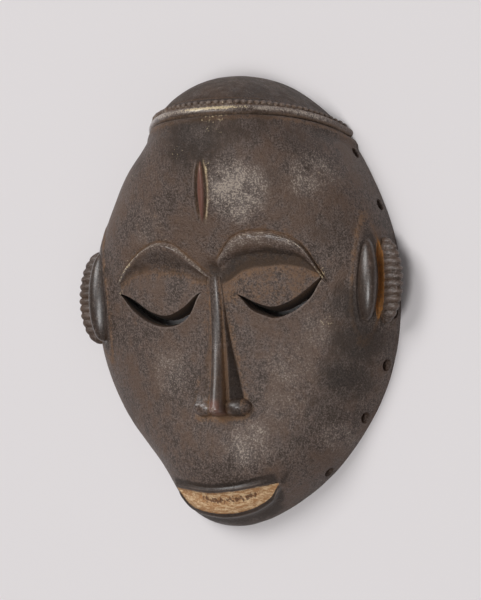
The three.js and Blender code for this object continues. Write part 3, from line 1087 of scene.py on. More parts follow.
@dataclass(frozen=True)
class Lens:
    """A lens-shaped part of an ear, standing out from the side of the head."""

    x: float
    z: float
    out: float
    thick: float
    lean: float
    trim: float = 0.0
    rib_pitch: float = 4.2
    rib_depth: float = 0.0

    def place(self, side: Side, middle: float, out: Array, along: Array, depth: Array) -> Array:
        """Points of the lens from their places out, along and through it.

        Args:
            side: the side of the face.
            middle: the y of the lens's middle.
            out: places outwards from the head.
            along: places along the ear.
            depth: places from the back of the lens to its front.

        Returns:
            The points, as rows of x, y and z.
        """
        x = self.x + out * math.cos(self.lean) - depth * math.sin(self.lean)
        z = self.z + out * math.sin(self.lean) + depth * math.cos(self.lean)
        return np.stack(np.broadcast_arrays(side.value * x, middle + along, z), -1)

    def solid(self, side: Side, middle: float, half: float, around: int = 200) -> Solid:
        """The lens as a solid, with ribs across it if it has a rib depth.

        Args:
            side: the side of the face.
            middle: the y of its middle.
            half: half of the ear's length.
            around: points around it.

        Returns:
            The solid.
        """
        polar, turn = globe(around)
        along = (half - self.trim) * np.sin(polar) * np.cos(turn)
        ripple = self.rib_depth * (1 - np.abs(np.sin(math.pi * along / self.rib_pitch)) ** 0.7)
        out = (self.out - ripple) * np.sin(polar) * np.sin(turn)
        rings = self.place(side, middle, out, along, (self.thick - 0.6 * ripple) * np.cos(polar))
        none = np.array(0)
        ends = [self.place(side, middle, none, none, np.array(end * self.thick)) for end in (1, -1)]
        return lofted(rings, ends[0], ends[1])

    def spread(self, side: Side, middle: float, half: float, points: Array) -> Array:
        """How far out points lie.

        Args:
            side: the side of the face.
            middle: the y of the lens's middle.
            half: half of the ear's length.
            points: the points, as rows of x, y and z.

        Returns:
            Less than 1 inside the lens, and more outside it.
        """
        x, z = side.value * points[..., 0] - self.x, points[..., 2] - self.z
        out = x * math.cos(self.lean) + z * math.sin(self.lean)
        depth = z * math.cos(self.lean) - x * math.sin(self.lean)
        along = (points[..., 1] - middle) / (half - self.trim)
        return np.sqrt((out / self.out) ** 2 + (depth / self.thick) ** 2 + along**2)


@dataclass(frozen=True)
class Ear:
    """One ear: a smooth front lobe, a ribbed rim behind it and a raw slot between them."""

    side: Side
    y: float
    half: float
    lobe: Lens = Lens(x=79.7, z=23.5, out=8.2, thick=5.9, lean=0.6, trim=1)
    rim: Lens = Lens(x=86.5, z=13.4, out=12.2, thick=5.2, lean=0.3, rib_depth=1.5)
    slot: Lens = Lens(x=85.6, z=19, out=4.2, thick=2.4, lean=1.1, trim=1.5)
    foot_height: float = 1.0
    welt: Swell = Swell(1.5, 0.14, 0.35)

    def solids(self) -> list[Solid]:
        """The lobe and the rim."""
        return [self.lobe.solid(self.side, self.y, self.half), self.rim.solid(self.side, self.y, self.half)]

    def cutter(self) -> Solid:
        """The slot between the lobe and the rim."""
        return self.slot.solid(self.side, self.y, self.half)

    def relief(self, place: Array) -> Array:
        """The swelling of the face round the foot of the lobe."""
        lobe = self.lobe.spread(self.side, self.y, self.half, place)
        return self.foot_height * smooth(1.7, 1.0, lobe) + self.welt.soft(lobe)

    def wear(self, place: Array) -> Wear:
        """A handled lobe, black round its foot, with ochre dust beyond.

        Args:
            place: points of the shell.

        Returns:
            The wear there.
        """
        lobe = self.lobe.spread(self.side, self.y, self.half, place)
        rim = self.rim.spread(self.side, self.y, self.half, place)
        clear = smooth(0.95, 1.1, rim)
        halo = span(lobe, 1.25, 1.45, 1.5, 1.95) * clear
        handled = smooth(1.15, 1.03, lobe)
        round_lobe = 0.75 * smooth(1.4, 1.1, lobe) * np.maximum(clear, handled)
        black = np.maximum(round_lobe, 0.45 * smooth(1.15, 1.0, rim))
        return Wear(polish=np.maximum(handled, 0.5 * smooth(1.12, 1.02, rim)), grime_and_shade=black, ochre=0.6 * halo)


@dataclass(frozen=True)
class TieHoles:
    """The tie holes through the side wall, just above the rim, for the cord that holds a mask on."""

    heights: tuple[float, ...] = (79, 50, 21, -9, -38, -67, -96)
    radius: float = 2.9
    stretch: float = 1.2
    z: float = 6.6

    def places(self, shell: Shell) -> tuple[Array, Array]:
        """Where the holes are.

        Args:
            shell: the shell that they pierce.

        Returns:
            Their middles on the outside, and the ways that they run.
        """
        v = np.array([y for y in self.heights for _ in Side]) / shell.half_length
        turn = np.array([math.pi if side is Side.LEFT else 0 for _ in self.heights for side in Side])
        middles = shell.point(v, turn)
        middles[:, 2] = self.z
        outward = shell.normal(v, turn)
        outward[:, 2] = 0
        return middles, outward / np.linalg.norm(outward, axis=1, keepdims=True)


EYES = (
    Eye(
        side=Side.RIGHT,
        brow_top=Contour(2, 64, (17, 29.8, 32.8, 31.7, 25, 5)),
        brow_low=Contour(2, 64, (14, 19.7, 21.8, 21, 18, 4)),
        lid_top=Contour(5, 61, (5.7, 13.2, 15, 14.8, 10.5)),
        slit_upper=Contour(14, 61, (0.4, -3.6, -6.5, -4.2, 1.9, 9.8)),
        slit_lower=Contour(14, 61, (-0.1, -7.7, -11.1, -12.9, -11, -7.3, -1.2, 9.2)),
        edge=2.7,
        socket_depth=2.3,
        sheen=0.45,
        dirt=1.3,
        tan=0.4,
    ),
    Eye(
        side=Side.LEFT,
        brow_top=Contour(-0.5, 65, (9.3, 18.2, 26.6, 28.9, 25.6, 18.3, 8.3)),
        brow_low=Contour(-0.5, 65, (7.5, 13.6, 15, 15, 14.4, 7)),
        lid_top=Contour(4, 64, (6, 11.4, 12.6, 12.2, 6)),
        slit_upper=Contour(8, 62.5, (2.1, -5.9, -9.9, -7.1, -0.4, 3.3)),
        slit_lower=Contour(8, 62.5, (1.7, -10.3, -15.2, -16.3, -14.9, -11.5, -5.6, 2.4)),
        shade=0.85,
        swell=1.3,
        sheen=0.2,
        dirt=0.55,
        passage=(0.14, 0.3),
    ),
)
EARS = (Ear(Side.RIGHT, y=8, half=23.5), Ear(Side.LEFT, y=3, half=26))
# Patches of wear, soot, painted sheen and painted shade: x and y of the middle, reach and strength. Each is
# full over a small core of its reach
PATCH_CORE = 0.15
# Places worn pale, and painted sheen on the forehead and cheeks
RUBBED_AND_SHEEN = ((21, 56, 26, 0.9), (57, 64, 22, 0.5), (17, -79, 24, 0.6), (54, -20, 18, 0.35), (42, -38, 28, 0.35),
          (36, -60, 22, 0.35), (-40, 40, 24, 0.3), (-30, -40, 28, 0.35), (60, -76, 16, 0.4))
# Soot, and painted shade: a dark crescent down the right cheek, and the cap darkened
SOOT_AND_SHADE = ((75, -6, 20, 1.0), (74, -26, 22, 1.05), (67, -44, 21, 1.0), (58, -60, 18, 0.5),
          (46, -76, 18, 0.35), (-70, -60, 26, 0.4), (26, 92, 26, 0.55), (-2, 84, 38, 0.85),
          (50, 84, 20, 0.4), (40, 62, 11, 0.4), (66, 36, 22, 0.4), (-44, 72, 18, 0.4))
CHIPPED = ((61, -15, 12, 0.9), (-12, 76, 13, 0.8), (-54, 19, 12, 0.7), (-26, 32, 12, 0.7), (20, 60, 22, 0.6),
           (14, -82, 14, 0.6), (60, 64, 14, 0.7), (6, 68, 9, 0.98), (9, 58, 7, 0.9), (11, 91, 20, 0.84),
           (-50, 66, 18, 0.75))


class Wire:
    """A node's output that can be used in an expression, which adds its Math nodes."""

    def __init__(self, bench: "Bench", socket: bpy.types.NodeSocket) -> None:
        """Wraps a socket of a bench's tree."""
        self.bench = bench
        self.socket = socket

    def maths(self, operation: str, *others: "Wire | float", clamp: bool = False) -> "Wire":
        """A Math node on this value and others.

        Args:
            operation: the node's operation.
            others: its second and third values.
            clamp: whether the result is kept between 0 and 1.

        Returns:
            The result.
        """
        values = dict(enumerate((self, *others)))
        return self.bench.make("ShaderNodeMath", {"operation": operation, "use_clamp": clamp}, values)

    def __add__(self, other: "Wire | float") -> "Wire":
        """This value plus another."""
        return self.maths("ADD", other)

    __radd__ = __add__

    def __mul__(self, other: "Wire | float") -> "Wire":
        """This value times another."""
        return self.maths("MULTIPLY", other)

    __rmul__ = __mul__

    def __sub__(self, other: "Wire | float") -> "Wire":
        """This value less another."""
        return self.maths("SUBTRACT", other)

    def __rsub__(self, other: float) -> "Wire":
        """A number less this value."""
        return self.bench.make("ShaderNodeMath", {"operation": "SUBTRACT"}, {0: other, 1: self})

    def __truediv__(self, other: "Wire | float") -> "Wire":
        """This value over another."""
        return self.maths("DIVIDE", other)

    def __pow__(self, power: float) -> "Wire":
        """This value to a power."""
        return self.maths("POWER", power)

    def clamped(self) -> "Wire":
        """This value kept between 0 and 1."""
        return self.maths("ADD", 0.0, clamp=True)

    def step(self, low: float, high: float) -> "Wire":
        """A soft step.

        Args:
            low: where the step starts, at 0.
            high: where it ends, at 1. It may be less than low.

        Returns:
            The height of the step at this value.
        """
        ends = (low, high, 0.0, 1.0) if low < high else (high, low, 1.0, 0.0)
        values = {"Value": self, **dict(enumerate(ends, start=1))}
        return self.bench.make("ShaderNodeMapRange", {"interpolation_type": "SMOOTHSTEP"}, values)

    def near(self, middle: "Wire | float", width: float) -> "Wire":
        """1 where this value is at a middle, fading to 0 at a width from it."""
        return (self - middle).maths("ABSOLUTE").step(width, 0.0)


class Bench:
    """A node tree that is being put together."""

    def __init__(self, tree: bpy.types.NodeTree) -> None:
        """Starts on a tree."""
        self.tree = tree

    def make(self, kind: str, settings: dict | None = None, values: dict | None = None,
             out: int | str = 0) -> Wire:
        """Adds a node.

        Args:
            kind: the node's type.
            settings: its own settings, which are set first.
            values: the values or wires of its inputs, by name or number.
            out: the output that is wanted.

        Returns:
            That output.
        """
        node = self.tree.nodes.new(kind)
        for name, value in (settings or {}).items():
            setattr(node, name, value)
        for key, value in (values or {}).items():
            if isinstance(value, Wire):
                self.tree.links.new(value.socket, node.inputs[key])
            else:
                node.inputs[key].default_value = value
        return Wire(self, node.outputs[out])

    def vector(self, operation: str, *values: "Wire | tuple[float, float, float]") -> Wire:
        """A Vector Math node on wires or points."""
        return self.make("ShaderNodeVectorMath", {"operation": operation}, dict(enumerate(values)))


class Jig(Bench):
    """A Geometry Nodes tree with named sizes, which turns a guide into a plain mesh."""

    def __init__(self, name: str, sizes: dict[str, float]) -> None:
        """Starts a tree.

        Args:
            name: the tree's name.
            sizes: its named inputs and their first values.
        """
        super().__init__(bpy.data.node_groups.new(name, "GeometryNodeTree"))
        face = self.tree.interface
        face.new_socket(name="Guide", in_out="INPUT", socket_type="NodeSocketGeometry")
        for size, value in sizes.items():
            socket = face.new_socket(name=size, in_out="INPUT", socket_type="NodeSocketFloat")
            socket.default_value = value
        face.new_socket(name="Shape", in_out="OUTPUT", socket_type="NodeSocketGeometry")
        self.entry = self.tree.nodes.new("NodeGroupInput")

    def given(self, name: str) -> Wire:
        """One of the tree's inputs."""
        return Wire(self, self.entry.outputs[name])

    def close(self, shape: Wire, finish: bpy.types.Material) -> None:
        """Ends the tree with real geometry in a finish.

        Args:
            shape: the tree's result.
            finish: its material.
        """
        real = self.make("GeometryNodeRealizeInstances", None, {0: shape})
        dressed = self.make("GeometryNodeSetMaterial", None, {0: real, "Material": finish})
        leave = self.tree.nodes.new("NodeGroupOutput")
        self.tree.links.new(dressed.socket, leave.inputs["Shape"])

    def copies(self, points: Wire, thing: Wire, axis: str, way: Wire, scale: dict[int, Wire | float]) -> Wire:
        """Copies of a thing at points.

        Args:
            points: where they stand.
            thing: what is copied.
            axis: the axis of the thing that is turned along the way.
            way: the way at each point.
            scale: the copy's size along x, y and z.

        Returns:
            The copies.
        """
        turn = self.make("FunctionNodeAlignRotationToVector", {"axis": axis}, {"Vector": way})
        sizes = self.make("ShaderNodeCombineXYZ", None, scale)
        return self.make("GeometryNodeInstanceOnPoints", None,
                         {"Points": points, "Instance": thing, "Rotation": turn, "Scale": sizes})

    def run(self, guide: bpy.types.Object, sizes: dict[str, float] | None = None) -> bpy.types.Object:
        """Turns a guide into the tree's shape, as a plain mesh.

        Args:
            guide: the object whose mesh the tree starts from.
            sizes: values of the named inputs that differ.

        Returns:
            The same object, with the new mesh.
        """
        modifier = guide.modifiers.new(self.tree.name, "NODES")
        modifier.node_group = self.tree
        names = {s.name: s.identifier for s in self.tree.interface.items_tree if s.in_out == "INPUT"}
        for name, value in (sizes or {}).items():
            modifier[names[name]] = value
        return settle(guide)


def settle(thing: bpy.types.Object) -> bpy.types.Object:
    """Makes an object's modifiers part of its mesh, and takes them off.

    Args:
        thing: the object.

    Returns:
        The same object.
    """
    graph = bpy.context.evaluated_depsgraph_get()
    made = bpy.data.meshes.new_from_object(thing.evaluated_get(graph), depsgraph=graph)
    thing.modifiers.clear()
    old, thing.data = thing.data, made
    bpy.data.meshes.remove(old)
    return thing


def line_object(name: str, points: Array) -> bpy.types.Object:
    """An object with a line of edges through points.

    Args:
        name: the object's name.
        points: the points, in millimetres.

    Returns:
        The object, in metres.
    """
    mesh = bpy.data.meshes.new(name)
    mesh.from_pydata((points * MM).tolist(), [(i, i + 1) for i in range(len(points) - 1)], [])
    return placed(name, mesh)


def bead_row(finish: bpy.types.Material) -> Jig:
    """A tree that sets a row of beads along a line, each a little different in size.

    Args:
        finish: the beads' material.

    Returns:
        The tree.
    """
    jig = Jig("bead row", {"Pitch": 0.0038, "Along": 1.0, "Across": 1.0, "Size": 0.0017, "Spread": 0.12})
    curve = jig.make("GeometryNodeMeshToCurve", None, {0: jig.given("Guide")})
    row = jig.make("GeometryNodeResampleCurve", {"mode": "LENGTH"}, {0: curve, "Length": jig.given("Pitch")})
    bead = jig.make("GeometryNodeMeshIcoSphere", None, {"Radius": 1.0, "Subdivisions": 2})
    chance = jig.make("FunctionNodeRandomValue", {"data_type": "FLOAT"}, {"Seed": 5}, out=1)
    size = jig.given("Size") * (1 + jig.given("Spread") * (chance * 2 - 1))
    scale = {0: size * jig.given("Along"), 1: size * jig.given("Across"), 2: size}
    tangent = jig.make("GeometryNodeInputTangent")
    jig.close(jig.copies(row, bead, "X", tangent, scale), finish)
    return jig


def hole_row(finish: bpy.types.Material) -> Jig:
    """A tree that sets a round cutter at each point of its guide, along the point's outward way.

    Args:
        finish: the cut walls' material.

    Returns:
        The tree.
    """
    jig = Jig("hole row", {"Radius": 0.0029, "Stretch": 1.2, "Length": 0.034})
    pin = jig.make("GeometryNodeMeshCylinder", None,
                   {"Vertices": 28, "Radius": jig.given("Radius"), "Depth": jig.given("Length")})
    way = jig.make("GeometryNodeInputNamedAttribute", {"data_type": "FLOAT_VECTOR"}, {"Name": "outward"})
    scale = {0: 1.0, 1: jig.given("Stretch"), 2: 1.0}
    jig.close(jig.copies(jig.given("Guide"), pin, "Z", way, scale), finish)
    return jig


def shelter_jig(finish: bpy.types.Material, ways: int = 22) -> Jig:
    """A tree that measures how sheltered each point of a surface is, close by and further off.

    Args:
        finish: the surface's material.
        ways: the number of directions that are looked along.

    Returns:
        The tree. It stores the attributes "crevice" and "shelter".
    """
    jig = Jig("shelter", {"Close": 0.0028, "Far": 0.011, "Skin": 0.00025})
    surface = jig.given("Guide")
    facing = jig.make("GeometryNodeInputNormal")
    position = jig.make("GeometryNodeInputPosition")
    lift = jig.make("ShaderNodeVectorMath", {"operation": "SCALE"}, {0: facing, "Scale": jig.given("Skin")})
    start = jig.vector("ADD", position, lift)
    golden = math.pi * (3 - math.sqrt(5))
    weights, near, far = [], [], []
    for i in range(ways):
        rise = 1 - 2 * (i + 0.5) / ways
        flat = math.sqrt(1 - rise * rise)
        way = (flat * math.cos(golden * i), flat * math.sin(golden * i), rise)
        dot = jig.make("ShaderNodeVectorMath", {"operation": "DOT_PRODUCT"}, {0: facing, 1: way}, out="Value")
        weight = dot.maths("MAXIMUM", 0.0)
        hit = jig.make("GeometryNodeRaycast", None, {
            "Target Geometry": surface, "Source Position": start, "Ray Direction": way,
            "Ray Length": jig.given("Far")}, out="Is Hit")
        length = Wire(jig, hit.socket.node.outputs["Hit Distance"])
        for found, reach in ((near, "Close"), (far, "Far")):
            found.append(hit * weight * (1 - length / jig.given(reach)).maths("MAXIMUM", 0.0))
        weights.append(weight)
    stored, total = surface, sum(weights)
    for name, value in (("crevice", sum(near) / total), ("shelter", sum(far) / total)):
        stored = jig.make("GeometryNodeStoreNamedAttribute", {"data_type": "FLOAT", "domain": "POINT"},
                          {"Geometry": stored, "Name": name, "Value": value})
    jig.close(stored, finish)
    return jig


def paint(code: str) -> Colour:
    """A colour from its six-figure code, for a shader's socket."""
    parts = [int(code[i:i + 2], 16) / 255 for i in (1, 3, 5)]
    return (*(p / 12.92 if p <= 0.04045 else ((p + 0.055) / 1.055) ** 2.4 for p in parts), 1.0)


@dataclass(frozen=True)
class Grain:
    """A noise over the wood, with lumps of a size in millimetres."""

    size: tuple[float, float, float]
    detail: float = 4.0
    shift: float = 0.0


@dataclass(frozen=True)
class PatinaFinish:
    """The handled, dark wood of the mask: the colours of its dirt, wear and paint, of its painted shade and
    sheen, and its grains.
    """

    dark: Colour = paint("#35281f")
    light: Colour = paint("#6d5e57")
    warm: Colour = paint("#543d2c")
    dirt: Colour = paint("#74583e")
    ochre: Colour = paint("#765639")
    # The black of soot, also used as painted shade in crevices, sockets and sight slits
    deep: Colour = paint("#1b120b")
    # The grey of wood worn pale and of painted sheen
    rubbed_sheen: Colour = paint("#7e736d")
    scuff: Colour = paint("#b3a596")
    cream: Colour = paint("#d8c49c")
    red: Colour = paint("#70493d")
    lip: Colour = paint("#b18256")
    lip_light: Colour = paint("#e4c59c")
    tooth: Colour = paint("#5c3922")
    raw: Colour = paint("#a8743e")
    inner: Colour = paint("#5b4232")
    streaks: Grain = Grain((1.1, 7.0, 1.1))
    mottle: Grain = Grain((5.0, 6.0, 5.0), 5.0, 7.0)
    clouds: Grain = Grain((22.0, 30.0, 22.0), 4.0, 3.0)
    grit: Grain = Grain((0.8, 0.9, 0.8), 3.0, 11.0)
    flecks: Grain = Grain((1.6, 1.7, 1.6), 3.0, 19.0)
    patches: Grain = Grain((11.0, 15.0, 11.0), 4.0, 41.0)
    brush: Grain = Grain((4.0, 1.2, 3.0), 4.0, 23.0)
    pits: Grain = Grain((1.3, 2.6, 2.0), 2.0, 31.0)
    noise_roughness: float = 0.6
    roughness: float = 0.37
    specular: float = 0.42
    coat: float = 0.45
    coat_roughness: float = 0.24
    bump_strength: float = 0.8
    bump_distance: float = 1.3 * MM


class Patina(Bench):
    """The tree of the mask's finish, which is laid on in coats over the bare wood."""

    def __init__(self, finish: PatinaFinish) -> None:
        """Starts the tree with its places, its noises and the mesh's own measures.

        Args:
            finish: the colours and grains.
        """
        self.finish = finish
        self.material = bpy.data.materials.new("handled dark wood")
        self.material.use_nodes = True
        super().__init__(self.material.node_tree)
        self.tree.nodes.clear()
        place = self.make("ShaderNodeTexCoord", out="Object")
        self.place = self.make("ShaderNodeVectorMath", {"operation": "SCALE"}, {0: place, "Scale": 1 / MM})
        split = self.make("ShaderNodeSeparateXYZ", None, {0: self.place})
        self.x, self.y, self.z = (Wire(self, split.socket.node.outputs[i]) for i in range(3))
        self.streaks, self.mottle = map(self.noise, (finish.streaks, finish.mottle))
        self.clouds, self.patches = map(self.noise, (finish.clouds, finish.patches))
        self.grit, self.flecks = map(self.noise, (finish.grit, finish.flecks))
        self.crevice, self.shelter, self.worn = map(self.mark, ("crevice", "shelter", "worn"))
        self.polish, self.grime_and_shade, self.ochre = map(self.mark, ("polish", "grime_and_shade", "ochre"))
        self.pale, self.red, self.chip = map(self.mark, ("pale", "red", "chip"))
        self.facet, self.tooth, self.slit_shade = map(self.mark, ("facet", "tooth", "slit_shade"))
        self.inside, self.slot = map(self.mark, ("inside", "slot"))

    def noise(self, grain: Grain) -> Wire:
        """A noise over the mask.

        Args:
            grain: its size, detail and shift.

        Returns:
            Its value, near 0.5.
        """
        scaled = self.vector("MULTIPLY", self.place, tuple(1 / size for size in grain.size))
        moved = self.vector("ADD", scaled, (grain.shift,) * 3)
        return self.make("ShaderNodeTexNoise", None, {
            "Vector": moved, "Scale": 1.0, "Detail": grain.detail, "Roughness": self.finish.noise_roughness})

    def mark(self, name: str) -> Wire:
        """One of the mesh's own measures."""
        return self.make("ShaderNodeAttribute", {"attribute_name": name}, out="Fac")

    def blend(self, base: Wire | Colour, other: Wire | Colour, share: Wire) -> Wire:
        """A colour a share of the way from one to another."""
        return self.make("ShaderNodeMix", {"data_type": "RGBA"}, {"Factor": share, 6: base, 7: other}, out=2)

    def coated(self, wood: Wire | Colour, *coats: tuple[Wire | Colour, Wire]) -> Wire:
        """Lays colours over the wood.

        Args:
            wood: the colour so far.
            coats: the colours and the share of each, in order.

        Returns:
            The colour.
        """
        for colour, share in coats:
            wood = self.blend(wood, colour, share)
        return wood

    def bare(self) -> Wire:
        """The colour of the bare wood, from dark to light, with warm clouds.

        Returns:
            The colour.
        """
        tone = self.grit * 0.75 + self.flecks * 0.35 + self.streaks * 0.25
        tone = tone + self.mottle * 0.18 + self.patches * 0.2 + self.clouds * 0.3
        warmth = (self.clouds * 0.6 + self.mottle * 0.3 + self.patches * 0.4).step(0.58, 0.76)
        return self.coated(self.finish.dark, (self.finish.light, tone.step(0.87, 1.14)),
                           (self.finish.warm, warmth * 0.65))

    def dusty(self) -> Wire:
        """1 where dust has settled, in the sheltered places."""
        return ((self.shelter * 2.2).clamped() * (self.mottle + self.clouds * 0.6)).step(0.12, 0.62)

    def black(self) -> Wire:
        """Where the wood is laid black: painted shade in the crevices, which also stands for black patina
        there, and soot and painted shade from the wear.

        Returns:
            1 in the crevices, under soot and under painted shade, and 0 on clean wood.
        """
        uneven = (self.mottle - 0.5) * 1.8 + (self.patches - 0.5) * 1.6 + (self.flecks - 0.5) * 1.4
        soot = (self.grime_and_shade + uneven * (self.grime_and_shade * 0.8 + 0.2)).step(0.15, 1.0) * 0.9
        # Crevices darkened as painted shade, which also stands for black patina in them
        return self.crevice.step(0.16, 0.55).maths("MAXIMUM", soot)

    def soiled(self, wood: Wire, dusty: Wire, black: Wire) -> Wire:
        """Lays dust, ochre, and the black of soot and painted shade over the wood.

        Args:
            wood: the colour so far.
            dusty: where dust has settled.
            black: where the wood is laid black, with soot and painted shade.

        Returns:
            The colour.
        """
        dust = (self.ochre * 1.1 + (self.flecks - 0.5) * 1.6 + (self.mottle - 0.5) * 1.4).step(0.2, 1.1)
        return self.coated(wood, (self.finish.dirt, dusty * 0.45), (self.finish.ochre, dust * 0.72),
                           (self.finish.deep, black * 0.8))

    def rubbed_sheen(self, wood: Wire) -> Wire:
        """Wears the edges lighter, lays painted sheen and painted glints where the wood is worn pale, and
        nicks the high places.

        Args:
            wood: the colour so far.

        Returns:
            The colour.
        """
        finish, grit, flecks = self.finish, self.grit, self.flecks
        redness = (self.red + (self.mottle - 0.5) * 0.8).step(0.25, 0.9)
        # Painted sheen where the wood is worn pale
        rubbed_sheen = self.pale * (0.2 + self.mottle * 0.8 + grit * 0.6 + (self.patches - 0.5) * 2.4)
        # Painted glints in the sheen
        glint_specks = (grit * 0.75 + flecks * 0.35 + rubbed_sheen * 0.16).step(0.63, 0.74)
        glint_specks = glint_specks * (rubbed_sheen.step(0.1, 0.7) * 0.8 + 0.1)
        nicks = (self.worn * 0.3 + self.chip * 0.36 + flecks * 0.5 + grit * 0.5).step(0.86, 0.98)
        # Raised edges lighter: edge wear, which also serves as a painted highlight along them
        return self.coated(
            wood, (finish.light, self.worn.step(0.12, 0.5) * 0.5),
            (finish.scuff, self.worn.step(0.25, 0.9) * 0.3), (finish.red, redness * 0.75),
            (finish.rubbed_sheen, rubbed_sheen.step(0.1, 0.9) * 0.7), (finish.scuff, glint_specks.clamped() * 0.75),
            (finish.cream, nicks * self.z.step(4.0, 12.0) * 0.7))

    def scarred(self, wood: Wire, scar: Scar) -> Wire:
        """Wears the scar red, with a pale line along its right lip.

        Args:
            wood: the colour so far.
            scar: the scar.

        Returns:
            The colour.
        """
        up = self.y - scar.y
        across = self.x - scar.x - up * scar.tilt
        reach = up.maths("ABSOLUTE")
        half = (1 - (up / scar.half_length) ** 2.0).maths("MAXIMUM", 0.05) * scar.half_width
        on_face = self.z.step(40, 45)
        core = (across.maths("ABSOLUTE") / half).step(1.0, 0.6) * on_face
        core = core * reach.step(scar.half_length, scar.half_length - 3)
        line = (across - half).near(1.7, 1.3) * reach.step(scar.half_length + 1, scar.half_length - 5)
        line = line * on_face * (self.flecks.step(0.4, 0.6) * 0.4 + 0.1)
        return self.coated(wood, (self.finish.red, core * 0.85), (self.finish.cream, line))

    def painted(self) -> Wire:
        """1 on the painted facet of the mouth, with a ragged edge."""
        return (self.facet + (self.flecks - 0.5) * 0.8).step(-0.35, 0.25)

    def mouth(self) -> Wire:
        """The colour of the mouth: pale brushed paint with dark tooth pits, soiled round its edge.

        Returns:
            The colour.
        """
        finish = self.finish
        brushed = self.noise(finish.brush) + (self.grit - 0.5) * 0.5
        pits = (self.tooth * 0.5 + self.noise(finish.pits) + self.crevice * 0.3).step(0.88, 1.02)
        soiled = (self.facet + (self.flecks - 0.5) * 2.0 + (self.x + 30) * 0.02).step(1.6, -0.2)
        return self.coated(finish.lip, (finish.lip_light, brushed.step(0.4, 0.66)),
                           (finish.tooth, pits * 0.85), (finish.tooth, soiled * 0.6))

    def hidden(self, wood: Wire) -> Wire:
        """Lays raw wood in the ears' slots, a plainer brown in the hollow and black as painted shade on the
        walls of the sight slits.

        Args:
            wood: the colour so far.

        Returns:
            The colour.
        """
        finish = self.finish
        raw = self.blend(finish.raw, finish.dirt, self.flecks.step(0.4, 0.7) * 0.7)
        inner = self.blend(finish.inner, finish.dirt, self.streaks.step(0.4, 0.7) * 0.4)
        return self.coated(wood, (raw, self.slot), (inner, self.inside), (finish.deep, self.slit_shade))

    def close(self, scar: Scar) -> bpy.types.Material:
        """Lays all the coats on, with their gloss and relief.

        Args:
            scar: the scar, whose core is worn red.

        Returns:
            The finished material.
        """
        finish, dusty, black, painted = self.finish, self.dusty(), self.black(), self.painted()
        wood = self.scarred(self.rubbed_sheen(self.soiled(self.bare(), dusty, black)), scar)
        wood = self.hidden(self.blend(wood, self.mouth(), painted))
        matt = (dusty * 0.4 + self.ochre * 0.5 + painted + self.inside + self.slot).clamped()
        handled = self.polish.clamped()
        rough = finish.roughness + self.mottle * 0.12 + self.grit * 0.1 + matt * 0.25 + black * 0.12
        rough = rough + self.slit_shade * 0.5 - handled * 0.2 - self.pale * 0.08
        fine = self.flecks * 0.35 + self.streaks * 0.15 + self.grit * 0.6
        height = self.mottle * 0.3 + fine * (1 - handled * 0.85)
        normal = self.make("ShaderNodeBump", None, {
            "Strength": finish.bump_strength, "Distance": finish.bump_distance, "Height": height})
        shader = self.make("ShaderNodeBsdfPrincipled", None, {
            "Base Color": wood, "Roughness": rough.clamped(), "Normal": normal,
            "Specular IOR Level": finish.specular, "Coat Roughness": finish.coat_roughness,
            "Coat Weight": (handled - matt * 0.5 - self.slit_shade).clamped() * finish.coat})
        leave = self.tree.nodes.new("ShaderNodeOutputMaterial")
        self.tree.links.new(shader.socket, leave.inputs["Surface"])
        return self.material


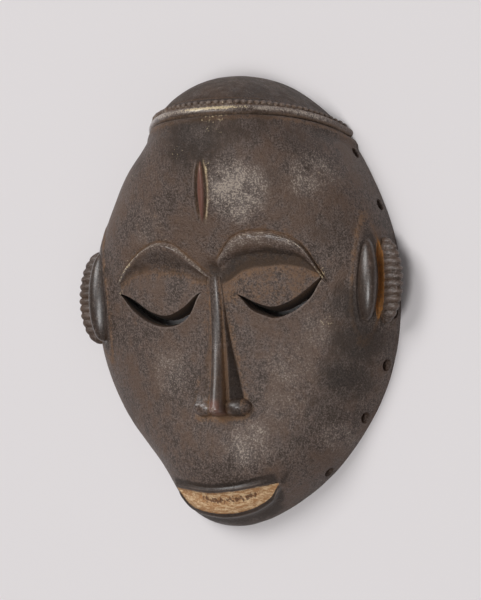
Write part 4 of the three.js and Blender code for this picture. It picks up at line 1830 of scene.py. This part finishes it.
@dataclass
class Mask:
    """The whole mask, carved from one block."""

    shell: Shell = field(default_factory=Shell)
    eyes: tuple[Eye, ...] = EYES
    nose: Nose = field(default_factory=Nose)
    scar: Scar = field(default_factory=Scar)
    mouth: Mouth = field(default_factory=Mouth)
    band: Band = field(default_factory=Band)
    ears: tuple[Ear, ...] = EARS
    holes: TieHoles = field(default_factory=TieHoles)
    finish: PatinaFinish = field(default_factory=PatinaFinish)
    knife: tuple[Unevenness, ...] = (Unevenness(1, (26, 34, 26), 0.28), Unevenness(2, (7, 11, 7), 0.09))
    rows: int = 660
    columns: int = 520
    sharp_angle: float = math.radians(48)
    shortest_edge: float = 0.2
    edge_passes: int = 2

    def features(self) -> list[Eye | Nose | Scar | Mouth | Band | Ear]:
        """All that is carved on the shell."""
        return [*self.eyes, self.nose, self.scar, self.mouth, self.band, *self.ears]

    def relief(self, place: Array) -> Array:
        """How far the carved skin stands out of the shell.

        Args:
            place: points of the shell.

        Returns:
            The heights there.
        """
        carved = sum(part.relief(place) for part in self.features())
        return carved + sum(marks.at(place) for marks in self.knife)

    def wear(self, place: Array) -> Wear:
        """How the mask has aged, with the painted shade, sheen and highlights laid in with it.

        Args:
            place: points of the mask.

        Returns:
            The wear there.
        """
        aged = Wear()
        for part in self.features():
            aged = aged | part.wear(place)
        for kind, patches in (("pale", RUBBED_AND_SHEEN), ("grime_and_shade", SOOT_AND_SHADE), ("chip", CHIPPED)):
            for x, y, size, strength in patches:
                away = np.hypot(place[..., 0] - x, place[..., 1] - y)
                aged = aged | Wear(**{kind: strength * smooth(size, PATCH_CORE * size, away)})
        return aged

    def skin(self) -> Solid:
        """The outer surface with all its relief, closed flat at the rim.

        Returns:
            The surface as a solid.
        """
        v, turn = self.shell.grid(self.rows, self.columns)
        place = self.shell.point(v, turn)
        surface = place + self.shell.normal(v, turn) * self.relief(place)[..., None]
        surface[:, [0, -1], 2] = 0
        surface[..., 2] = np.maximum(surface[..., 2], 0)
        chin, crown = self.shell.sway.at(np.array([0.0, 1.0]))
        half = self.shell.half_length
        return lofted(surface, np.array([chin, -half, 0]), np.array([crown, half, 0]))

    def rows_of_beads(self, material: bpy.types.Material) -> list[bpy.types.Object]:
        """The band's beads and the cutters of the tooth pits, set in rows by one tree.

        Args:
            material: their finish.

        Returns:
            The beads and the pits.
        """
        band, mouth, jig = self.band, self.mouth, bead_row(material)
        rows = (("band_beads", band.path(self.shell), band.bead_pitch, band.bead_size, band.bead_shape),
                ("tooth_pits", mouth.tooth_path(self.shell), mouth.tooth_pitch, mouth.tooth_size,
                 mouth.tooth_shape))
        return [jig.run(line_object(name, path), {"Pitch": pitch * MM, "Size": size * MM, **shape})
                for name, path, pitch, size, shape in rows]

    def tie_holes(self, material: bpy.types.Material) -> bpy.types.Object:
        """The cutters of the tie holes.

        Args:
            material: the finish of the walls that they leave.

        Returns:
            The cutters in one object.
        """
        middles, outward = self.holes.places(self.shell)
        guide = line_object("tie_holes", middles)
        ways = guide.data.attributes.new("outward", "FLOAT_VECTOR", "POINT")
        ways.data.foreach_set("vector", outward.astype(np.float32).ravel())
        sizes = {"Radius": self.holes.radius * MM, "Stretch": self.holes.stretch,
                 "Length": 4 * self.shell.wall * MM}
        return hole_row(material).run(guide, sizes)

    def tools(self, material: bpy.types.Material) -> list[tuple[bpy.types.Object, Carving]]:
        """All that is added to the block or cut out of it, in order.

        Args:
            material: the mask's finish.

        Returns:
            Each tool and how it meets the mask.
        """
        shell, wall = self.shell, self.shell.wall
        beads, pits = self.rows_of_beads(material)
        added = [self.nose.solid(shell), *self.nose.rolls(shell)]
        added += [solid for ear in self.ears for solid in ear.solids()]
        cut = [shell.hollow(), *(eye.slit(shell) for eye in self.eyes), *(ear.cutter() for ear in self.ears)]
        below = slab(1.5 * shell.half_length, 2 * wall).piece("below_the_rim")
        return [*((solid.piece("added"), Carving.ADD) for solid in added), (beads, Carving.ADD),
                *((solid.piece("cut"), Carving.CUT) for solid in cut), (pits, Carving.CUT),
                (self.tie_holes(material), Carving.CUT), (below, Carving.CUT)]

    def carve(self, material: bpy.types.Material) -> bpy.types.Object:
        """Carves the whole mask in one piece.

        Args:
            material: its finish.

        Returns:
            The mask, before its surface is measured.
        """
        block, steps = self.skin().piece("mask"), self.tools(material)
        for tool, how in steps:
            modifier = block.modifiers.new(how.name, "BOOLEAN")
            modifier.operation, modifier.solver, modifier.object = how.value, "MANIFOLD", tool
        settle(block)
        for tool, _ in steps:
            bpy.data.objects.remove(tool)
        triangles = sum(len(p.vertices) - 2 for p in block.data.polygons)
        LOG.info("carved: %d triangles", triangles)
        thin = block.modifiers.new("thin", "DECIMATE")
        thin.ratio = min(1.0, MOST_TRIANGLES / triangles)
        thin.use_collapse_triangulate = True
        return settle(block)

    def edges(self, mesh: bpy.types.Mesh, points: Array) -> Array:
        """How far each point stands out among its neighbours, which is where a carving wears.

        Args:
            mesh: the carved mask.
            points: its points, in millimetres.

        Returns:
            The bend at each point, more than 0 on an edge and less in a groove.
        """
        facing = measured(mesh.vertices, "normal", 3, np.float32)
        a, b = measured(mesh.edges, "vertices", 2, np.int32).T
        gap = points[b] - points[a]
        shortest = self.shortest_edge**2
        bend = np.einsum("ij,ij->i", facing[b] - facing[a], gap) / np.maximum((gap**2).sum(axis=1), shortest)
        count = np.bincount(a, minlength=len(points)) + np.bincount(b, minlength=len(points))
        for _ in range(self.edge_passes):
            total = np.bincount(a, bend, len(points)) + np.bincount(b, bend, len(points))
            worn = total / np.maximum(count, 1)
            bend = (worn[a] + worn[b]) / 2
        return worn

    def measure(self, piece: bpy.types.Object) -> None:
        """Stores on the mesh how worn, how far inside and how raw each point is, where the sight slits take
        painted shade, and its wear.

        Args:
            piece: the carved mask.
        """
        mesh = piece.data
        points = measured(mesh.vertices, "co", 3, np.float32).astype(float) / MM
        deep = self.shell.deep(points)
        slot = np.zeros(len(points))
        for ear in self.ears:
            spread = ear.slot.spread(ear.side, ear.y, ear.half, points)
            slot = np.maximum(slot, smooth(1.12, 1.03, spread))
        inside = smooth(2.6, 3.8, deep)
        slit_shade = np.maximum.reduce([eye.slit_shade(points, deep) for eye in self.eyes])
        aged = self.wear(points)
        layers = {"worn": self.edges(mesh, points), "inside": inside, "slot": slot, "slit_shade": slit_shade,
                  "tooth": self.mouth.tooth(points) * (1 - inside),
                  "facet": np.where(inside > 0, -3, self.mouth.facet(points))}
        layers |= {kind.name: getattr(aged, kind.name) for kind in fields(aged)}
        for name, values in layers.items():
            layer = mesh.attributes.new(name, "FLOAT", "POINT")
            layer.data.foreach_set("value", values.astype(np.float32))

    def build(self) -> bpy.types.Object:
        """Builds the finished mask and fits it to the frame.

        Returns:
            The mask.
        """
        material = Patina(self.finish).close(self.scar)
        piece = self.carve(material)
        self.measure(piece)
        shelter_jig(material).run(piece)
        piece.name = piece.data.name = "ritual_mask"
        piece.data.shade_smooth()
        piece.data.set_sharp_from_angle(angle=self.sharp_angle)
        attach(piece, BODY)
        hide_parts(NODE)
        LOG.info("%s: %d triangles", piece.name, len(piece.data.polygons))
        return piece


@dataclass(frozen=True)
class Lamp:
    """A soft square light that looks at the mask's middle."""

    place: tuple[float, float, float]
    size: float
    power: float

    def hang(self, name: str) -> None:
        """Hangs the lamp.

        Args:
            name: its name.
        """
        data = bpy.data.lights.new(name, "AREA")
        data.energy, data.size = self.power, self.size
        made = placed(name, data)
        made.location = self.place
        made.rotation_euler = (-Vector(self.place)).to_track_quat("-Z", "Y").to_euler()


@dataclass(frozen=True)
class Studio:
    """The pale floor, the soft lights and the camera."""

    turn: float = math.radians(25)
    dip: float = math.radians(-3.5)
    distance: float = 1.8
    frame_height: float = 600 / 1.8 * MM
    aside: float = -5.33 * MM
    above: float = 0.33 * MM
    sensor: float = 36.0
    floor_half: float = 6.0
    floor_colour: Colour = paint("#dedadb")
    floor_roughness: float = 0.9
    key: Lamp = Lamp((-1.6, 1.8, 3.8), 2.2, 104.5)
    front: Lamp = Lamp((0.3, -0.45, 2.5), 0.8, 25.6)
    fill: Lamp = Lamp((1.3, -0.9, 1.9), 1.8, 2)
    sky: float = 0.21
    sky_colour: Colour = paint("#f0eeee")

    def floor(self) -> None:
        """Lays the pale floor under the mask."""
        half = self.floor_half
        mesh = bpy.data.meshes.new("floor")
        corners = [(-half, -half, 0), (half, -half, 0), (half, half, 0), (-half, half, 0)]
        mesh.from_pydata(corners, [], [(0, 1, 2, 3)])
        made = placed("floor", mesh)
        matt = bpy.data.materials.new("matt floor")
        matt.use_nodes = True
        shader = matt.node_tree.nodes["Principled BSDF"]
        shader.inputs["Base Color"].default_value = self.floor_colour
        shader.inputs["Roughness"].default_value = self.floor_roughness
        mesh.materials.append(matt)

    def camera(self) -> None:
        """Sets the camera above the mask, turned to its right and a little to its chin."""
        turn, dip = self.turn, self.dip
        back = Vector((math.sin(turn) * math.cos(dip), math.sin(dip), math.cos(turn) * math.cos(dip)))
        right = Vector((math.cos(turn), 0, -math.sin(turn)))
        up = back.cross(right)
        data = bpy.data.cameras.new("camera")
        data.sensor_fit = "AUTO"
        data.sensor_width = self.sensor
        data.lens = self.sensor * self.distance / self.frame_height
        made = placed("camera", data)
        turned = Matrix((right, up, back)).transposed().to_4x4()
        place = back * self.distance + right * self.aside + up * self.above
        made.matrix_world = Matrix.Translation(place) @ turned
        bpy.context.scene.camera = made

    def build(self) -> None:
        """Sets the whole studio up."""
        self.floor()
        self.camera()
        for name, lamp in (("key lamp", self.key), ("front lamp", self.front), ("fill lamp", self.fill)):
            lamp.hang(name)
        world = bpy.data.worlds.new("soft room")
        world.use_nodes = True
        sky = world.node_tree.nodes["Background"]
        sky.inputs["Color"].default_value = self.sky_colour
        sky.inputs["Strength"].default_value = self.sky
        bpy.context.scene.world = world
        bpy.context.scene.view_settings.view_transform = "Standard"


def main() -> None:
    """Builds the studio and the mask."""
    logging.basicConfig(level=logging.INFO, format="%(name)s: %(message)s")
    Studio().build()
    Mask().build()


if __name__ == "__main__":
    main()
